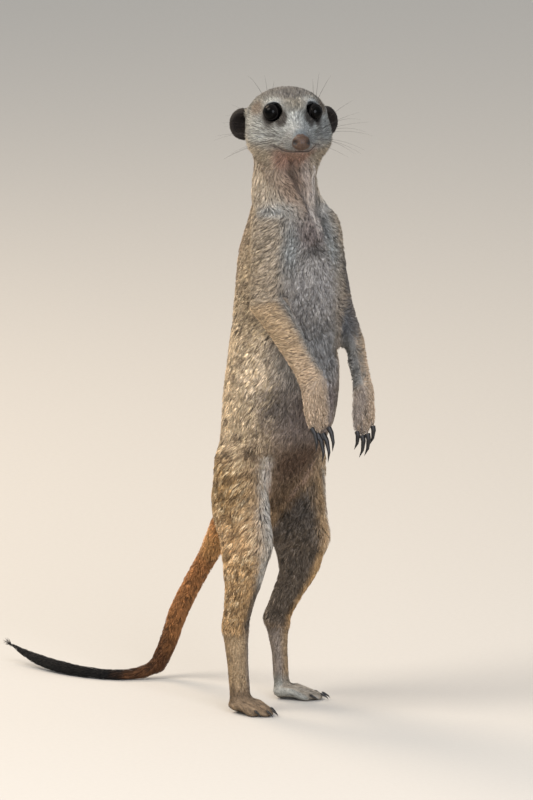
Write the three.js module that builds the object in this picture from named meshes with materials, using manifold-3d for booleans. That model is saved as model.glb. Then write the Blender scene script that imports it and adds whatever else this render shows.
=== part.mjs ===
// A meerkat standing upright on its toes, propped by its tail: a still, life-size model.
// Millimetres, +Z up. The animal faces -Y and its left side is +X. The surfaces are those of the
// coat, out to its tips. Neighbouring pieces meet at a thin gap.
import * as THREE from "three";
import { mergeVertices } from "three/addons/utils/BufferGeometryUtils.js";
import Module from "manifold-3d";

const wasm = await Module();
wasm.setup();

// ---- Driving dimensions ----

const gap = 0.3; // between pieces that meet
const overshoot = 8; // how far a piece is made past its cut before it is trimmed
const toeDip = 0.75; // how far the toe tips would sink, so that each gets a small flat
const groundCentre = { x: 0.548, y: 52.703 }; // middle of the footprint, which becomes the origin

// Level rings of the trunk from the crotch to the head: height, how far back the middle is,
// half the width and half the depth.
const trunkRings = [
  { z: 88, back: 8, halfWidth: 6, halfDepth: 8 },
  { z: 99, back: 4, halfWidth: 13, halfDepth: 12 },
  { z: 113, back: -0.5, halfWidth: 18, halfDepth: 15.5 },
  { z: 127, back: -6.5, halfWidth: 23.5, halfDepth: 22.5 },
  { z: 138, back: -10, halfWidth: 26, halfDepth: 26.5 },
  { z: 149, back: -12.5, halfWidth: 27, halfDepth: 28.5 },
  { z: 167, back: -14.8, halfWidth: 26.5, halfDepth: 28 },
  { z: 187, back: -16, halfWidth: 24.3, halfDepth: 26.5 },
  { z: 207, back: -16.6, halfWidth: 21.5, halfDepth: 26.5 },
  { z: 222, back: -16.2, halfWidth: 19.5, halfDepth: 26 },
  { z: 236, back: -16, halfWidth: 16.5, halfDepth: 21.5 },
  { z: 248, back: -15.5, halfWidth: 14, halfDepth: 16.5 },
  { z: 258, back: -14.8, halfWidth: 12.8, halfDepth: 14.6 },
  { z: 270, back: -14.5, halfWidth: 12.8, halfDepth: 14 },
];

// Joints of the limbs, each with the radius of the flesh round it.
const arms = {
  right: {
    withers: { at: [-5.5, -12, 256], r: 8 },
    shoulder: { at: [-15.5, -26, 235], r: 9.5 },
    elbow: { at: [-25.4, -34.5, 204], r: 8.2 },
    mid: { at: [-18.6, -45.5, 186], r: 6.9 },
    wrist: { at: [-12.4, -54, 167.5], r: 6.2 },
    knuckles: { at: [-10.6, -55.2, 151], r: 3.7 },
    across: [0.93, -0.37, 0],
    clawBow: [0.3, -0.95, 0],
    clawLean: 1,
    clawLength: 18,
  },
  left: {
    withers: { at: [6, -12, 256], r: 8 },
    shoulder: { at: [15.5, -25.5, 235], r: 9 },
    elbow: { at: [23.4, -25.8, 201], r: 7.1 },
    mid: { at: [24.4, -38.5, 180], r: 5.3 },
    wrist: { at: [21.2, -50, 160], r: 4.5 },
    knuckles: { at: [19.8, -52, 147], r: 3.1 },
    across: [0.92, -0.3, 0.25],
    clawBow: [0.3, -0.95, 0],
    clawLean: 0.45,
    clawLength: 14.5,
  },
};

const legs = {
  right: {
    side: -1,
    hip: { at: [-14.5, -2, 119], r: 12.6 },
    rump: { at: [-13, 6, 100], r: 11 },
    knee: { at: [-22, -22, 84], r: 7.8 },
    calf: { at: [-21.5, -11.5, 68], r: 8.6 },
    hock: { at: [-20.5, -3, 41], r: 6.3 },
    cannon: { at: [-20, -4, 31], r: 5.4 },
    ball: { at: [-19.3, -6, 4.6], r: 5.2 },
    ahead: [0.139, -0.99, 0],
  },
  left: {
    side: 1,
    hip: { at: [17, -4, 118], r: 13 },
    rump: { at: [13, 6, 100], r: 11 },
    knee: { at: [22, -10, 82], r: 7.8 },
    calf: { at: [21, -1, 66], r: 8.4 },
    hock: { at: [19, 16, 38], r: 6.2 },
    cannon: { at: [18.6, 12.5, 29.5], r: 4.2 },
    ball: { at: [18.5, 10, 3.4], r: 4 },
    ahead: [0.643, -0.766, 0],
  },
};

// Middle of the tail from its root to its tip, with its radius.
const tail = [
  { at: [0, 16, 98], r: 9.6 },
  { at: [-1.2, 29.5, 84], r: 7 },
  { at: [0.5, 44, 68], r: 5.2 },
  { at: [3, 60, 51.5], r: 5 },
  { at: [5.5, 75, 34], r: 4.8 },
  { at: [6.5, 85, 16], r: 4.6 },
  { at: [2.5, 88.5, 5], r: 4.1 },
  { at: [-7.5, 91, 2.85], r: 3.2 },
  { at: [-18, 98, 2.35], r: 2.7 },
  { at: [-24.5, 113, 2.65], r: 3 },
  { at: [-27.5, 130, 3.4], r: 3.3 },
  { at: [-28, 148, 5.2], r: 2.6 },
  { at: [-28.5, 166, 9.5], r: 0.8 },
];

// The head, in its own frame: x ahead, y to its left, z up from the middle of the skull.
const head = {
  middle: [0.5, -18, 287],
  turn: THREE.MathUtils.degToRad(-28), // turned to the animal's right
  eye: { at: [12.9, 9.1, 7.3], r: 4.8 },
  nose: { at: [35.4, 0, -3.2], size: [3, 4.4, 3.7] },
  ear: { at: [-12, 19.5, -2.2], size: [5.6, 7.6, 8.6], wall: 2.2 },
};

// Four digits side by side on each paw, the middle two the longest.
const digits = [-1.5, -0.5, 0.5, 1.5];
const digitReach = (digit, most, taper) => most * (1 - taper * Math.abs(digit) ** 1.5);
const digitTaper = { fore: 0.24, hind: 0.16 };
const clawTaper = 0.1;
const knuckleSpread = 2.3;

const hindClawLength = 7;
const clawRadius = { fore: 1.35, hind: 1.15 };

const colours = {
  head: "#a09b90",
  nose: "#5d4233",
  ear: "#2b241f",
  eye: "#0c0a09",
  neck: "#a99c8b",
  chest: "#8b8278",
  abdomen: "#a08c72",
  arm: "#a08c72",
  hand: "#9e8975",
  thigh: "#997d61",
  shank: "#8f6e50",
  foot: "#98846b",
  tail: "#7e5535",
  tailTip: "#1c1917",
  claw: "#14110f",
};

// ---- Fields: each gives the distance from a point to a surface, below zero inside ----

const vector = (v) => new THREE.Vector3(...v);

function roundCone(start, end) {
  const from = vector(start.at);
  const axis = vector(end.at).sub(from);
  const square = axis.lengthSq();
  const offset = new THREE.Vector3();
  return (p) => {
    const t = THREE.MathUtils.clamp(offset.copy(p).sub(from).dot(axis) / square, 0, 1);
    const away = offset.addScaledVector(axis, -t).length();
    return away - THREE.MathUtils.lerp(start.r, end.r, t);
  };
}

function ellipsoid(centre, size, frame) {
  const middle = vector(centre);
  const local = new THREE.Vector3();
  const least = Math.min(...size);
  return (p) => {
    local.copy(p);
    if (frame) local.applyMatrix4(frame);
    local.sub(middle);
    const ratio = Math.hypot(local.x / size[0], local.y / size[1], local.z / size[2]);
    return (ratio - 1) * least;
  };
}

// The trunk: level ellipses that change smoothly with the height.
function trunkField() {
  const heights = trunkRings.map((ring) => ring.z);
  const values = trunkRings.flatMap((ring) => [ring.back, ring.halfWidth, ring.halfDepth]);
  const spline = new THREE.CubicInterpolant(heights, values, 3);
  const lowest = heights[0];
  const highest = heights.at(-1);
  return (p) => {
    const level = THREE.MathUtils.clamp(p.z, lowest, highest);
    const [back, halfWidth, halfDepth] = spline.evaluate(level);
    const ratio = Math.hypot(p.x / halfWidth, (p.y - back) / halfDepth);
    return (ratio - 1) * Math.min(halfWidth, halfDepth) + Math.abs(p.z - level);
  };
}

// Joins fields into one, with a fillet about as wide as the softness.
function blend(softness, ...fields) {
  return (p) => {
    let distance = fields[0](p);
    for (const field of fields.slice(1)) {
      const other = field(p);
      const overlap = Math.max(softness - Math.abs(distance - other), 0) / softness;
      distance = Math.min(distance, other) - (overlap * overlap * softness) / 4;
    }
    return distance;
  };
}

const limit = (...fields) => (p) => Math.max(...fields.map((field) => field(p)));
const inflate = (field, by) => (p) => field(p) - by;
const outside = (field, by) => (p) => -by - field(p);

// ---- Planes: a cut through a point, with the normal pointing out of what is kept ----

function plane(point, normal) {
  return new THREE.Plane().setFromNormalAndCoplanarPoint(vector(normal).normalize(), vector(point));
}

const beyond = (cut) => (p) => cut.distanceToPoint(p) - overshoot;
const flip = (cut) => cut.clone().negate();

// ---- Solids ----

function toSolid(geometry) {
  const bare = geometry.clone();
  bare.deleteAttribute("normal");
  bare.deleteAttribute("uv");
  const merged = mergeVertices(bare, 1e-4);
  const corners = merged.index.array;
  const triangles = [];
  for (let i = 0; i < corners.length; i += 3) {
    const [a, b, c] = corners.slice(i, i + 3);
    if (a !== b && b !== c && c !== a) triangles.push(a, b, c);
  }
  return new wasm.Manifold(
    new wasm.Mesh({
      numProp: 3,
      vertProperties: merged.attributes.position.array,
      triVerts: new Uint32Array(triangles),
    }),
  );
}

function toGeometry(solid) {
  const mesh = solid.getMesh();
  const points = new Float32Array(mesh.numVert * 3);
  for (let i = 0; i < mesh.numVert; i++) {
    points.set(mesh.vertProperties.subarray(i * mesh.numProp, i * mesh.numProp + 3), i * 3);
  }
  const geometry = new THREE.BufferGeometry();
  geometry.setAttribute("position", new THREE.BufferAttribute(points, 3));
  geometry.setIndex(new THREE.BufferAttribute(mesh.triVerts, 1));
  geometry.computeVertexNormals();
  return geometry;
}

// A block that fills everything on the outer side of a plane, for trimming, moved in by half a gap.
function beyondPlane(cut) {
  const size = 1400;
  const block = new THREE.BoxGeometry(size, size, size);
  block.translate(0, 0, size / 2 - gap / 2);
  const turn = new THREE.Quaternion().setFromUnitVectors(new THREE.Vector3(0, 0, 1), cut.normal);
  block.applyQuaternion(turn);
  const foot = cut.coplanarPoint(new THREE.Vector3());
  block.translate(foot.x, foot.y, foot.z);
  return toSolid(block);
}

// How far a ray runs from inside a field until it leaves it.
function reach(origin, direction, field) {
  const farthest = 90;
  const point = new THREE.Vector3();
  let travelled = 0;
  for (let step = 0; step < 120 && travelled < farthest; step++) {
    const depth = -field(point.copy(origin).addScaledVector(direction, travelled));
    if (depth < 5e-4) break;
    travelled += depth * 0.8;
  }
  return travelled;
}

// A closed skin about a curve. Each vertex of a capsule slides out from the curve, along its own
// direction, to the surface of the field. The side vector sets where the seam of the rings lies.
function sleeve(curve, field, { around = 18, along = 6, cap = 2, side = [1, 0, 0] } = {}) {
  const capsule = new THREE.CapsuleGeometry(1, 1, cap, around, along);
  const points = capsule.attributes.position;
  const vertex = new THREE.Vector3();
  for (let i = 0; i < points.count; i++) {
    vertex.fromBufferAttribute(points, i);
    const level = THREE.MathUtils.clamp(vertex.y, -0.5, 0.5);
    const origin = curve.getPointAt(level + 0.5);
    const tangent = curve.getTangentAt(level + 0.5);
    const across = vector(side).projectOnPlane(tangent).normalize();
    const third = across.clone().cross(tangent);
    const frame = new THREE.Matrix4().makeBasis(across, tangent, third);
    vertex.y -= level;
    const direction = vertex.clone().transformDirection(frame);
    origin.addScaledVector(direction, reach(origin, direction, field));
    points.setXYZ(i, origin.x, origin.y, origin.z);
  }
  return toSolid(capsule);
}

const past = (point, cut) => vector(point).addScaledVector(cut.normal, 2).toArray();
const through = (...points) => new THREE.CatmullRomCurve3(points.map(vector));
const trim = (solid, ...cuts) => cuts.reduce((left, cut) => left.subtract(beyondPlane(cut)), solid);
const joined = (solids) => solids.reduce((all, solid) => all.add(solid));

// ---- The flesh, as fields ----

const tailField = blend(1, ...tail.slice(1).map((knot, i) => roundCone(tail[i], knot)));

function armFields(arm) {
  const across = vector(arm.across);
  const metacarpals = digits.map((digit) => {
    const knuckle = vector(arm.knuckles.at).addScaledVector(across, knuckleSpread * digit);
    return roundCone(arm.wrist, { at: knuckle.toArray(), r: arm.knuckles.r });
  });
  return {
    upper: blend(2, roundCone(arm.withers, arm.shoulder), roundCone(arm.shoulder, arm.elbow)),
    lower: blend(1.5, roundCone(arm.elbow, arm.mid), roundCone(arm.mid, arm.wrist), ...metacarpals),
  };
}

function legField(leg) {
  const thigh = blend(
    5,
    roundCone(leg.hip, leg.knee),
    roundCone(leg.hip, leg.rump),
    roundCone(leg.rump, leg.calf),
  );
  const knee = blend(5, thigh, roundCone(leg.knee, leg.calf));
  const cannon = blend(3, roundCone(leg.hock, leg.cannon), roundCone(leg.cannon, leg.ball));
  return blend(2, knee, roundCone(leg.calf, leg.hock), cannon);
}

// Two cords of muscle that run down from the corners of the jaw to the breastbone.
function throatField() {
  const notch = { at: [2, -37, 236], r: 3 };
  const cords = [-1, 1].map((side) => {
    const jaw = { at: [-2 + 9.5 * side, -25 - 2 * side, 266], r: 4.2 };
    return roundCone(jaw, notch);
  });
  return blend(2, ...cords);
}

const headFrame = new THREE.Matrix4()
  .makeRotationZ(head.turn - Math.PI / 2)
  .setPosition(vector(head.middle));
const toHead = headFrame.clone().invert();
const fromHead = (v) => vector(v).applyMatrix4(headFrame).toArray();
const headDirection = (v) => vector(v).transformDirection(headFrame).toArray();

function headField() {
  const both = (make) => [make(-1), make(1)];
  const round = (from, fromR, to, toR) =>
    roundCone({ at: fromHead(from), r: fromR }, { at: fromHead(to), r: toR });
  const oval = (at, size) => ellipsoid(at, size, toHead);
  const skull = blend(
    3,
    oval([-5, 0, 1.9], [21, 20, 15.2]),
    oval([10, 0, 0.5], [13, 12.5, 11]),
    ...both((side) => oval([1, 10.5 * side, -7], [15, 10.4, 11])),
    ...both((side) => oval([9, 7 * side, 10.5], [7, 6, 3.4])),
    ...both((side) => oval([8.5, 8.6 * side, 6.3], [6.5, 5.2, 6.5])),
  );
  const muzzle = blend(
    3,
    round([13, 0, -3], 9.8, [29.5, 0, -4.4], 5.2),
    round([12, 0, 2.5], 6.5, [32, 0, -1.8], 3.1),
    ...both((side) => round([18, 5.4 * side, -6.8], 5.2, [28.5, 2.6 * side, -6.4], 3.5)),
    round([4, 0, -12.5], 7.5, [25.5, 0, -9.6], 3.2),
  );
  return blend(4, skull, muzzle);
}

const upperArms = [armFields(arms.right), armFields(arms.left)];
const trunkFlesh = [
  trunkField(),
  headField(),
  throatField(),
  tailField,
  legField(legs.right),
  legField(legs.left),
];
const body = blend(7, ...trunkFlesh, ...upperArms.map((fields) => fields.upper));
const torso = blend(7, ...trunkFlesh.slice(0, 3));

// ---- Cuts ----

const cuts = {
  waist: plane([0, 0, 190], [0, 0, 1]),
  collar: plane([0, -17, 247], [0, -0.12, 1]),
  jaw: plane([0, -16, 271], [-0.16, -0.3, 0.94]),
  tailRoot: plane([0, 22, 94], [0, 0.958, -0.287]),
  midline: plane([0, 0, 0], [1, 0, 0]),
  floor: plane([0, 0, -gap / 2], [0, 0, -1]),
};

// The shoulder parts arm from chest, and the hip parts thigh from belly: both look outwards.
const shoulderCut = (side) => plane([24.5 * side, 0, 197], [52 * side, 0, 14]);
const hipCut = (side) => plane([28 * side, 0, 142], [52 * side, 0, -25]);

// A cut square to the bend between two bones, looking along the second.
function jointCut(before, joint, after) {
  const first = vector(joint.at).sub(vector(before.at)).normalize();
  const second = vector(after.at).sub(vector(joint.at)).normalize();
  return plane(joint.at, first.add(second).toArray());
}

// ---- Pieces ----

const meerkat = new THREE.Group();
const centred = new THREE.Vector3(-groundCentre.x, -groundCentre.y, 0);

function addPiece(name, solid, colour, roughness = 0.9) {
  const material = new THREE.MeshStandardMaterial({ color: colour, roughness, metalness: 0 });
  const mesh = new THREE.Mesh(toGeometry(solid), material);
  mesh.name = name;
  mesh.position.copy(centred);
  meerkat.add(mesh);
}

function addTrunk(elbows, forearms) {
  const flesh = blend(7, ...trunkFlesh, ...upperArms.map((fields, i) =>
    limit(fields.upper, (p) => elbows[i].distanceToPoint(p)),
  ));
  const armCuts = [-1, 1].map((side, i) => [shoulderCut(side), flip(elbows[i])]);
  const clearOfArms = armCuts.map((pair) => (p) => {
    return Math.min(...pair.map((cut) => cut.distanceToPoint(p))) - overshoot;
  });
  const chestCuts = [cuts.collar, flip(cuts.waist)];
  const chestAxis = through([0, -16, 187], [0, -17, 220], [0, -15.5, 249]);
  const chestField = limit(flesh, ...chestCuts.map(beyond), ...clearOfArms);
  let chest = trim(sleeve(chestAxis, chestField, { around: 22, along: 7, cap: 1 }), ...chestCuts);
  for (const [shoulder, elbow] of armCuts) {
    chest = chest.subtract(beyondPlane(shoulder).intersect(beyondPlane(elbow)));
  }
  for (const forearm of forearms) chest = chest.subtract(forearm);
  addPiece("chest", chest, colours.chest);

  const bellyCuts = [cuts.waist, cuts.tailRoot, hipCut(-1), hipCut(1)];
  const bellyAxis = through([0, 3, 104], [0, -9, 132], [0, -14, 155], [0, -16, 193]);
  const bellyField = limit(flesh, ...bellyCuts.map(beyond));
  let belly = sleeve(bellyAxis, bellyField, { around: 22, along: 8, cap: 2 });
  belly = trim(belly, ...bellyCuts);
  for (const forearm of forearms) belly = belly.subtract(forearm);
  addPiece("abdomen", belly, colours.abdomen);
}

function addNeckAndHead() {
  const neckAxis = through([0, -16, 244], [0, -15.5, 258], [-1, -17, 272]);
  const neckField = limit(body, beyond(flip(cuts.collar)), beyond(cuts.jaw));
  const neck = sleeve(neckAxis, neckField, { around: 22, along: 4, cap: 1 });
  addPiece("neck", trim(neck, flip(cuts.collar), cuts.jaw), colours.neck);

  const skullAxis = through(...[[-7, 0, 1], [6, 0, 0], [16, 0, -2.5], [27, 0, -4]].map(fromHead));
  const headLimit = limit(body, beyond(flip(cuts.jaw)));
  const shape = { around: 24, along: 9, cap: 2, side: [0, 0, 1] };
  const nostrilCut = plane(fromHead([head.nose.at[0] - 1.6, 0, 0]), headDirection([1, 0, 0]));
  let skull = trim(sleeve(skullAxis, headLimit, shape), flip(cuts.jaw), nostrilCut);
  const clearance = sleeve(skullAxis, inflate(headLimit, gap), shape);
  for (const [name, side] of [["right", -1], ["left", 1]]) {
    const [ahead, out, up] = head.eye.at;
    const centre = vector(fromHead([ahead, out * side, up]));
    const ball = (r) => toSolid(new THREE.SphereGeometry(r, 12, 8).translate(...centre.toArray()));
    skull = skull.subtract(ball(head.eye.r + gap));
    addPiece("eye_" + name, ball(head.eye.r), colours.eye, 0.08);
    addPiece("ear_" + name, earSolid(side).subtract(clearance), colours.ear);
  }
  addPiece("head", skull, colours.head);

  const [long, wide, tall] = head.nose.size;
  const pad = new THREE.SphereGeometry(1, 12, 7).scale(long, wide, tall);
  pad.translate(...head.nose.at).applyMatrix4(headFrame);
  addPiece("nose", trim(toSolid(pad), flip(nostrilCut)), colours.nose, 0.5);
}

// A small round ear, low on the side of the head: a thick crescent, hollow ahead.
function earSolid(side) {
  const [ahead, out, up] = head.ear.at;
  const [long, wide, tall] = head.ear.size;
  const shell = new THREE.SphereGeometry(1, 12, 8).scale(long, wide, tall);
  const hollow = new THREE.SphereGeometry(1, 10, 6);
  hollow.scale(long, wide - head.ear.wall, tall - head.ear.wall).translate(long * 0.95, 0, 0);
  const turned = (geometry) =>
    geometry.rotateZ(side * 0.35).translate(ahead, out * side, up).applyMatrix4(headFrame);
  return toSolid(turned(shell)).subtract(toSolid(turned(hollow)));
}

function addArm(name, arm, fields, side) {
  const shoulder = flip(shoulderCut(side));
  const elbow = jointCut(arm.shoulder, arm.elbow, arm.wrist);
  const wrist = jointCut(arm.elbow, arm.wrist, arm.knuckles);
  const flesh = blend(2.5, body, fields.lower);

  const [x, y, z] = arm.shoulder.at;
  const [elbowX, elbowY, elbowZ] = arm.elbow.at;
  const upperCuts = [shoulder, elbow, cuts.collar];
  const upperAxis = through([x + 3.5 * side, y, z - 1], past([elbowX + side, elbowY, elbowZ], elbow));
  const upperField = limit(flesh, ...upperCuts.map(beyond));
  const upper = sleeve(upperAxis, upperField, { around: 14, along: 5 });
  addPiece("upper_arm_" + name, trim(upper, ...upperCuts), colours.arm);

  const lowerCuts = [flip(elbow), wrist];
  const lowerAxis = through(past(arm.elbow.at, flip(elbow)), arm.mid.at, past(arm.wrist.at, wrist));
  const lowerField = limit(flesh, outside(torso, gap), ...lowerCuts.map(beyond));
  const shape = { around: 14, along: 6, cap: 1 };
  const lower = trim(sleeve(lowerAxis, lowerField, shape), ...lowerCuts);
  addPiece("forearm_" + name, lower, colours.arm);

  const palmAxis = through(past(arm.wrist.at, flip(wrist)), arm.knuckles.at);
  const palm = sleeve(palmAxis, limit(flesh, beyond(flip(wrist))), { around: 12, along: 3 });
  addHand(name, side, arm, trim(palm, flip(wrist)));
  return { elbow, forearm: sleeve(lowerAxis, inflate(lowerField, gap), shape) };
}

// Adds a hand or foot: its palm or sole joined to its digits, and a claw on each digit.
function addPaw(name, side, base, specs, cut = []) {
  const shape = { around: 6, along: 2 };
  const skins = specs.map(({ curve, field }) => sleeve(curve, field, shape));
  const clear = joined(specs.map(({ curve, field }) => sleeve(curve, inflate(field, gap), shape)));
  specs.forEach(({ claw }, i) => {
    const number = side < 0 ? i + 1 : 4 - i;
    addPiece(`claw_${name}_${number}`, clawSolid(claw).subtract(clear), colours.claw, 0.35);
  });
  const colour = name.startsWith("hand") ? colours.hand : colours.foot;
  addPiece(name, trim(joined([base, ...skins]), ...cut), colour);
}

function addHand(name, side, arm, palm) {
  const across = vector(arm.across);
  const ahead = new THREE.Vector3(0, 0, -1).cross(across).normalize();
  const bow = vector(arm.clawBow).normalize();
  const specs = digits.map((digit) => {
    const at = (drop, forward, spread) => {
      const point = vector(arm.knuckles.at).addScaledVector(across, spread * digit);
      point.addScaledVector(ahead, forward).z -= drop;
      return point.toArray();
    };
    const root = { at: at(-1, 0, knuckleSpread), r: 2.6 };
    const tip = { at: at(digitReach(digit, 8, digitTaper.fore), 0.6, 2.75), r: 2 };
    const claw = {
      root: vector(tip.at),
      along: new THREE.Vector3(0, 0, -1).addScaledVector(bow, arm.clawLean),
      bend: bow.clone().negate(),
      length: digitReach(digit, arm.clawLength, clawTaper),
      radius: clawRadius.fore,
    };
    return { field: roundCone(root, tip), curve: through(root.at, tip.at), claw };
  });
  addPaw("hand_" + name, side, palm, specs);
}

// A tapering claw on a circular arc, from inside the tip of its digit.
function clawSolid({ root, along, bend, length, radius }) {
  const sweep = 1.1;
  const arc = length / sweep;
  const forward = along.clone().normalize();
  const inward = bend.clone().projectOnPlane(forward).normalize();
  const third = inward.clone().cross(forward);
  const cone = new THREE.ConeGeometry(radius, length, 6, 3);
  const points = cone.attributes.position;
  for (let i = 0; i < points.count; i++) {
    const turned = ((points.getY(i) + length / 2) / length) * sweep;
    const from = arc - points.getX(i) * 0.8;
    const point = root.clone();
    point.addScaledVector(forward, from * Math.sin(turned));
    point.addScaledVector(inward, arc - from * Math.cos(turned));
    point.addScaledVector(third, points.getZ(i));
    points.setXYZ(i, point.x, point.y, point.z);
  }
  return toSolid(cone);
}

function addLeg(name, leg) {
  const { side } = leg;
  const midline = side < 0 ? cuts.midline : flip(cuts.midline);
  const hip = flip(hipCut(side));
  const knee = plane(leg.knee.at.with(2, leg.knee.at[2] - 2), [0, 0, -1]);
  const hock = jointCut(leg.calf, leg.hock, leg.ball);

  const thighCuts = [hip, midline, knee, cuts.tailRoot];
  const [kneeX, kneeY, kneeZ] = leg.knee.at;
  const thighAxis = through(
    [23 * side, -1, 121],
    [19 * side, -1, 100],
    [kneeX, kneeY * 0.55 - 2, kneeZ - 4],
  );
  const thighField = limit(body, ...thighCuts.map(beyond));
  const thigh = sleeve(thighAxis, thighField, { around: 18, along: 6, cap: 3 });
  addPiece("thigh_" + name, trim(thigh, ...thighCuts), colours.thigh);

  const shankCuts = [flip(knee), hock, midline];
  const shankAxis = through([kneeX, kneeY * 0.6, kneeZ], leg.calf.at, past(leg.hock.at, hock));
  const shankField = limit(body, ...shankCuts.map(beyond));
  const shank = sleeve(shankAxis, shankField, { around: 14, along: 7, cap: 1 });
  addPiece("shank_" + name, trim(shank, ...shankCuts), colours.shank);

  const soleAxis = through(past(leg.hock.at, flip(hock)), leg.ball.at);
  const sole = sleeve(soleAxis, limit(body, beyond(flip(hock))), { around: 12, along: 4 });
  addFoot(name, leg, trim(sole, flip(hock)));
}

function addFoot(name, leg, sole) {
  const ahead = vector(leg.ahead);
  const across = new THREE.Vector3(0, 0, 1).cross(ahead).negate();
  const toeR = 2.75;
  const tipR = 2.45;
  const specs = digits.map((digit) => {
    const length = digitReach(digit, 19, digitTaper.hind);
    const at = (forward, up, spread) => {
      const point = vector(leg.ball.at).setZ(up);
      return point.addScaledVector(ahead, forward).addScaledVector(across, spread * digit).toArray();
    };
    const root = { at: at(-1, 4, 2.6), r: 3.2 };
    const knuckle = { at: at(length * 0.5, 4.2, 3.3), r: toeR };
    const tip = { at: at(length, tipR - toeDip, 3.7), r: tipR };
    const claw = {
      root: vector(at(length, tipR + 0.6, 3.7)),
      along: ahead.clone().setZ(0.1),
      bend: new THREE.Vector3(0, 0, -1),
      length: hindClawLength,
      radius: clawRadius.hind,
    };
    const field = blend(1.5, roundCone(root, knuckle), roundCone(knuckle, tip));
    return { field, curve: through(root.at, knuckle.at, tip.at), claw };
  });
  addPaw("foot_" + name, leg.side, sole, specs, [cuts.floor]);
}

function addTail() {
  const curve = through(...tail.map((knot) => knot.at));
  const pieces = [
    { name: "tail_base", from: 0, to: 0.34, along: 7, colour: colours.tail },
    { name: "tail_middle", from: 0.34, to: 0.66, along: 9, colour: colours.tail },
    { name: "tail_tip", from: 0.66, to: 1, along: 8, colour: colours.tailTip },
  ];
  const cutAt = (t) => plane(curve.getPointAt(t).toArray(), curve.getTangentAt(t).toArray());
  for (const { name, from, to, along, colour } of pieces) {
    const begins = from ? flip(cutAt(from)) : flip(cuts.tailRoot);
    const ends = to < 1 ? [cutAt(to)] : [];
    const start = (from || 0.06) - 0.01;
    const finish = to < 1 ? to + 0.01 : 0.985;
    const knots = Array.from({ length: along + 1 }, (_, i) => start + ((finish - start) * i) / along);
    const stretch = through(...knots.map((t) => curve.getPointAt(t).toArray()));
    const field = limit(body, ...[begins, ...ends].map(beyond));
    const length = sleeve(stretch, field, { around: 10, along, cap: 1 });
    addPiece(name, trim(length, begins, ...ends, cuts.floor), colour);
  }
}

const rightArm = addArm("right", arms.right, upperArms[0], -1);
const leftArm = addArm("left", arms.left, upperArms[1], 1);
addTrunk([rightArm.elbow, leftArm.elbow], [rightArm.forearm, leftArm.forearm]);
addNeckAndHead();
addLeg("right", legs.right);
addLeg("left", legs.left);
addTail();

export default meerkat;
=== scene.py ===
import heapq
import math
import bpy
import numpy as np
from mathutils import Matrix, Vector
from mathutils.bvhtree import BVHTree
from mathutils.kdtree import KDTree


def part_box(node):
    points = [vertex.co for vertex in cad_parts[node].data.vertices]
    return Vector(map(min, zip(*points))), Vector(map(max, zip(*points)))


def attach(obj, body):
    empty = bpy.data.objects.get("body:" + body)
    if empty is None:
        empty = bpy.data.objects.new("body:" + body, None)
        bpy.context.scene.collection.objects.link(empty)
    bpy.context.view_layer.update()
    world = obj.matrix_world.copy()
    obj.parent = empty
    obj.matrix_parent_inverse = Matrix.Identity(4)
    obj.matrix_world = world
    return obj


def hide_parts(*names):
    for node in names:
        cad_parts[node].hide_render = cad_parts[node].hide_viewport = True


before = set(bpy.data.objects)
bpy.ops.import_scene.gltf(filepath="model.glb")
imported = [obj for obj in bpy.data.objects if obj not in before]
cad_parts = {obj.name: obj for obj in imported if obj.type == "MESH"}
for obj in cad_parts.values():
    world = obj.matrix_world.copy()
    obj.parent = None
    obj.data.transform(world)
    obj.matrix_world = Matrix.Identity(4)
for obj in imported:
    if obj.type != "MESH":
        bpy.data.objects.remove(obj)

scene = bpy.context.scene
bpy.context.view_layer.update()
mm = 0.001
random = np.random.default_rng(11)


def toLinear(hexColour):
    values = np.array([int(hexColour[i:i + 2], 16) for i in (0, 2, 4)]) / 255
    return np.where(values <= 0.04045, values / 12.92, ((values + 0.055) / 1.055) ** 2.4)


def rgba(hexColour):
    return (*toLinear(hexColour), 1.0)


def unit(vectors):
    return vectors / np.maximum(np.linalg.norm(vectors, axis=-1, keepdims=True), 1e-12)


def smoothStep(low, high, values):
    t = np.clip((values - low) / (high - low), 0, 1)
    return t * t * (3 - 2 * t)


def bell(distances, width):
    return np.exp(-(distances / width) ** 2)


def away(places, centre, reach=1.0):
    # how far each place is from a centre, in shares of the reach
    return np.linalg.norm((places - centre) / reach, axis=1)


def squareTo(vectors, axes):
    # what is left of each vector without its part along an axis
    return vectors - axes * (vectors * axes).sum(axis=1, keepdims=True)


def addNode(tree, kind, settings=None, links=None):
    # settings are sockets or properties by name, links are sockets fed by another node's output
    node = tree.nodes.new(kind)
    for name, value in (settings or {}).items():
        if isinstance(name, int) or name in node.inputs:
            node.inputs[name].default_value = value
        else:
            setattr(node, name, value)
    for name, source in (links or {}).items():
        tree.links.new(source, node.inputs[name])
    return node


def newMaterial(name, settings):
    # settings are the inputs of the shader
    material = bpy.data.materials.new(name)
    material.use_nodes = True
    tree = material.node_tree
    shader = tree.nodes["Principled BSDF"]
    for socket, value in settings.items():
        shader.inputs[socket].default_value = value
    return material, tree, shader


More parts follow.
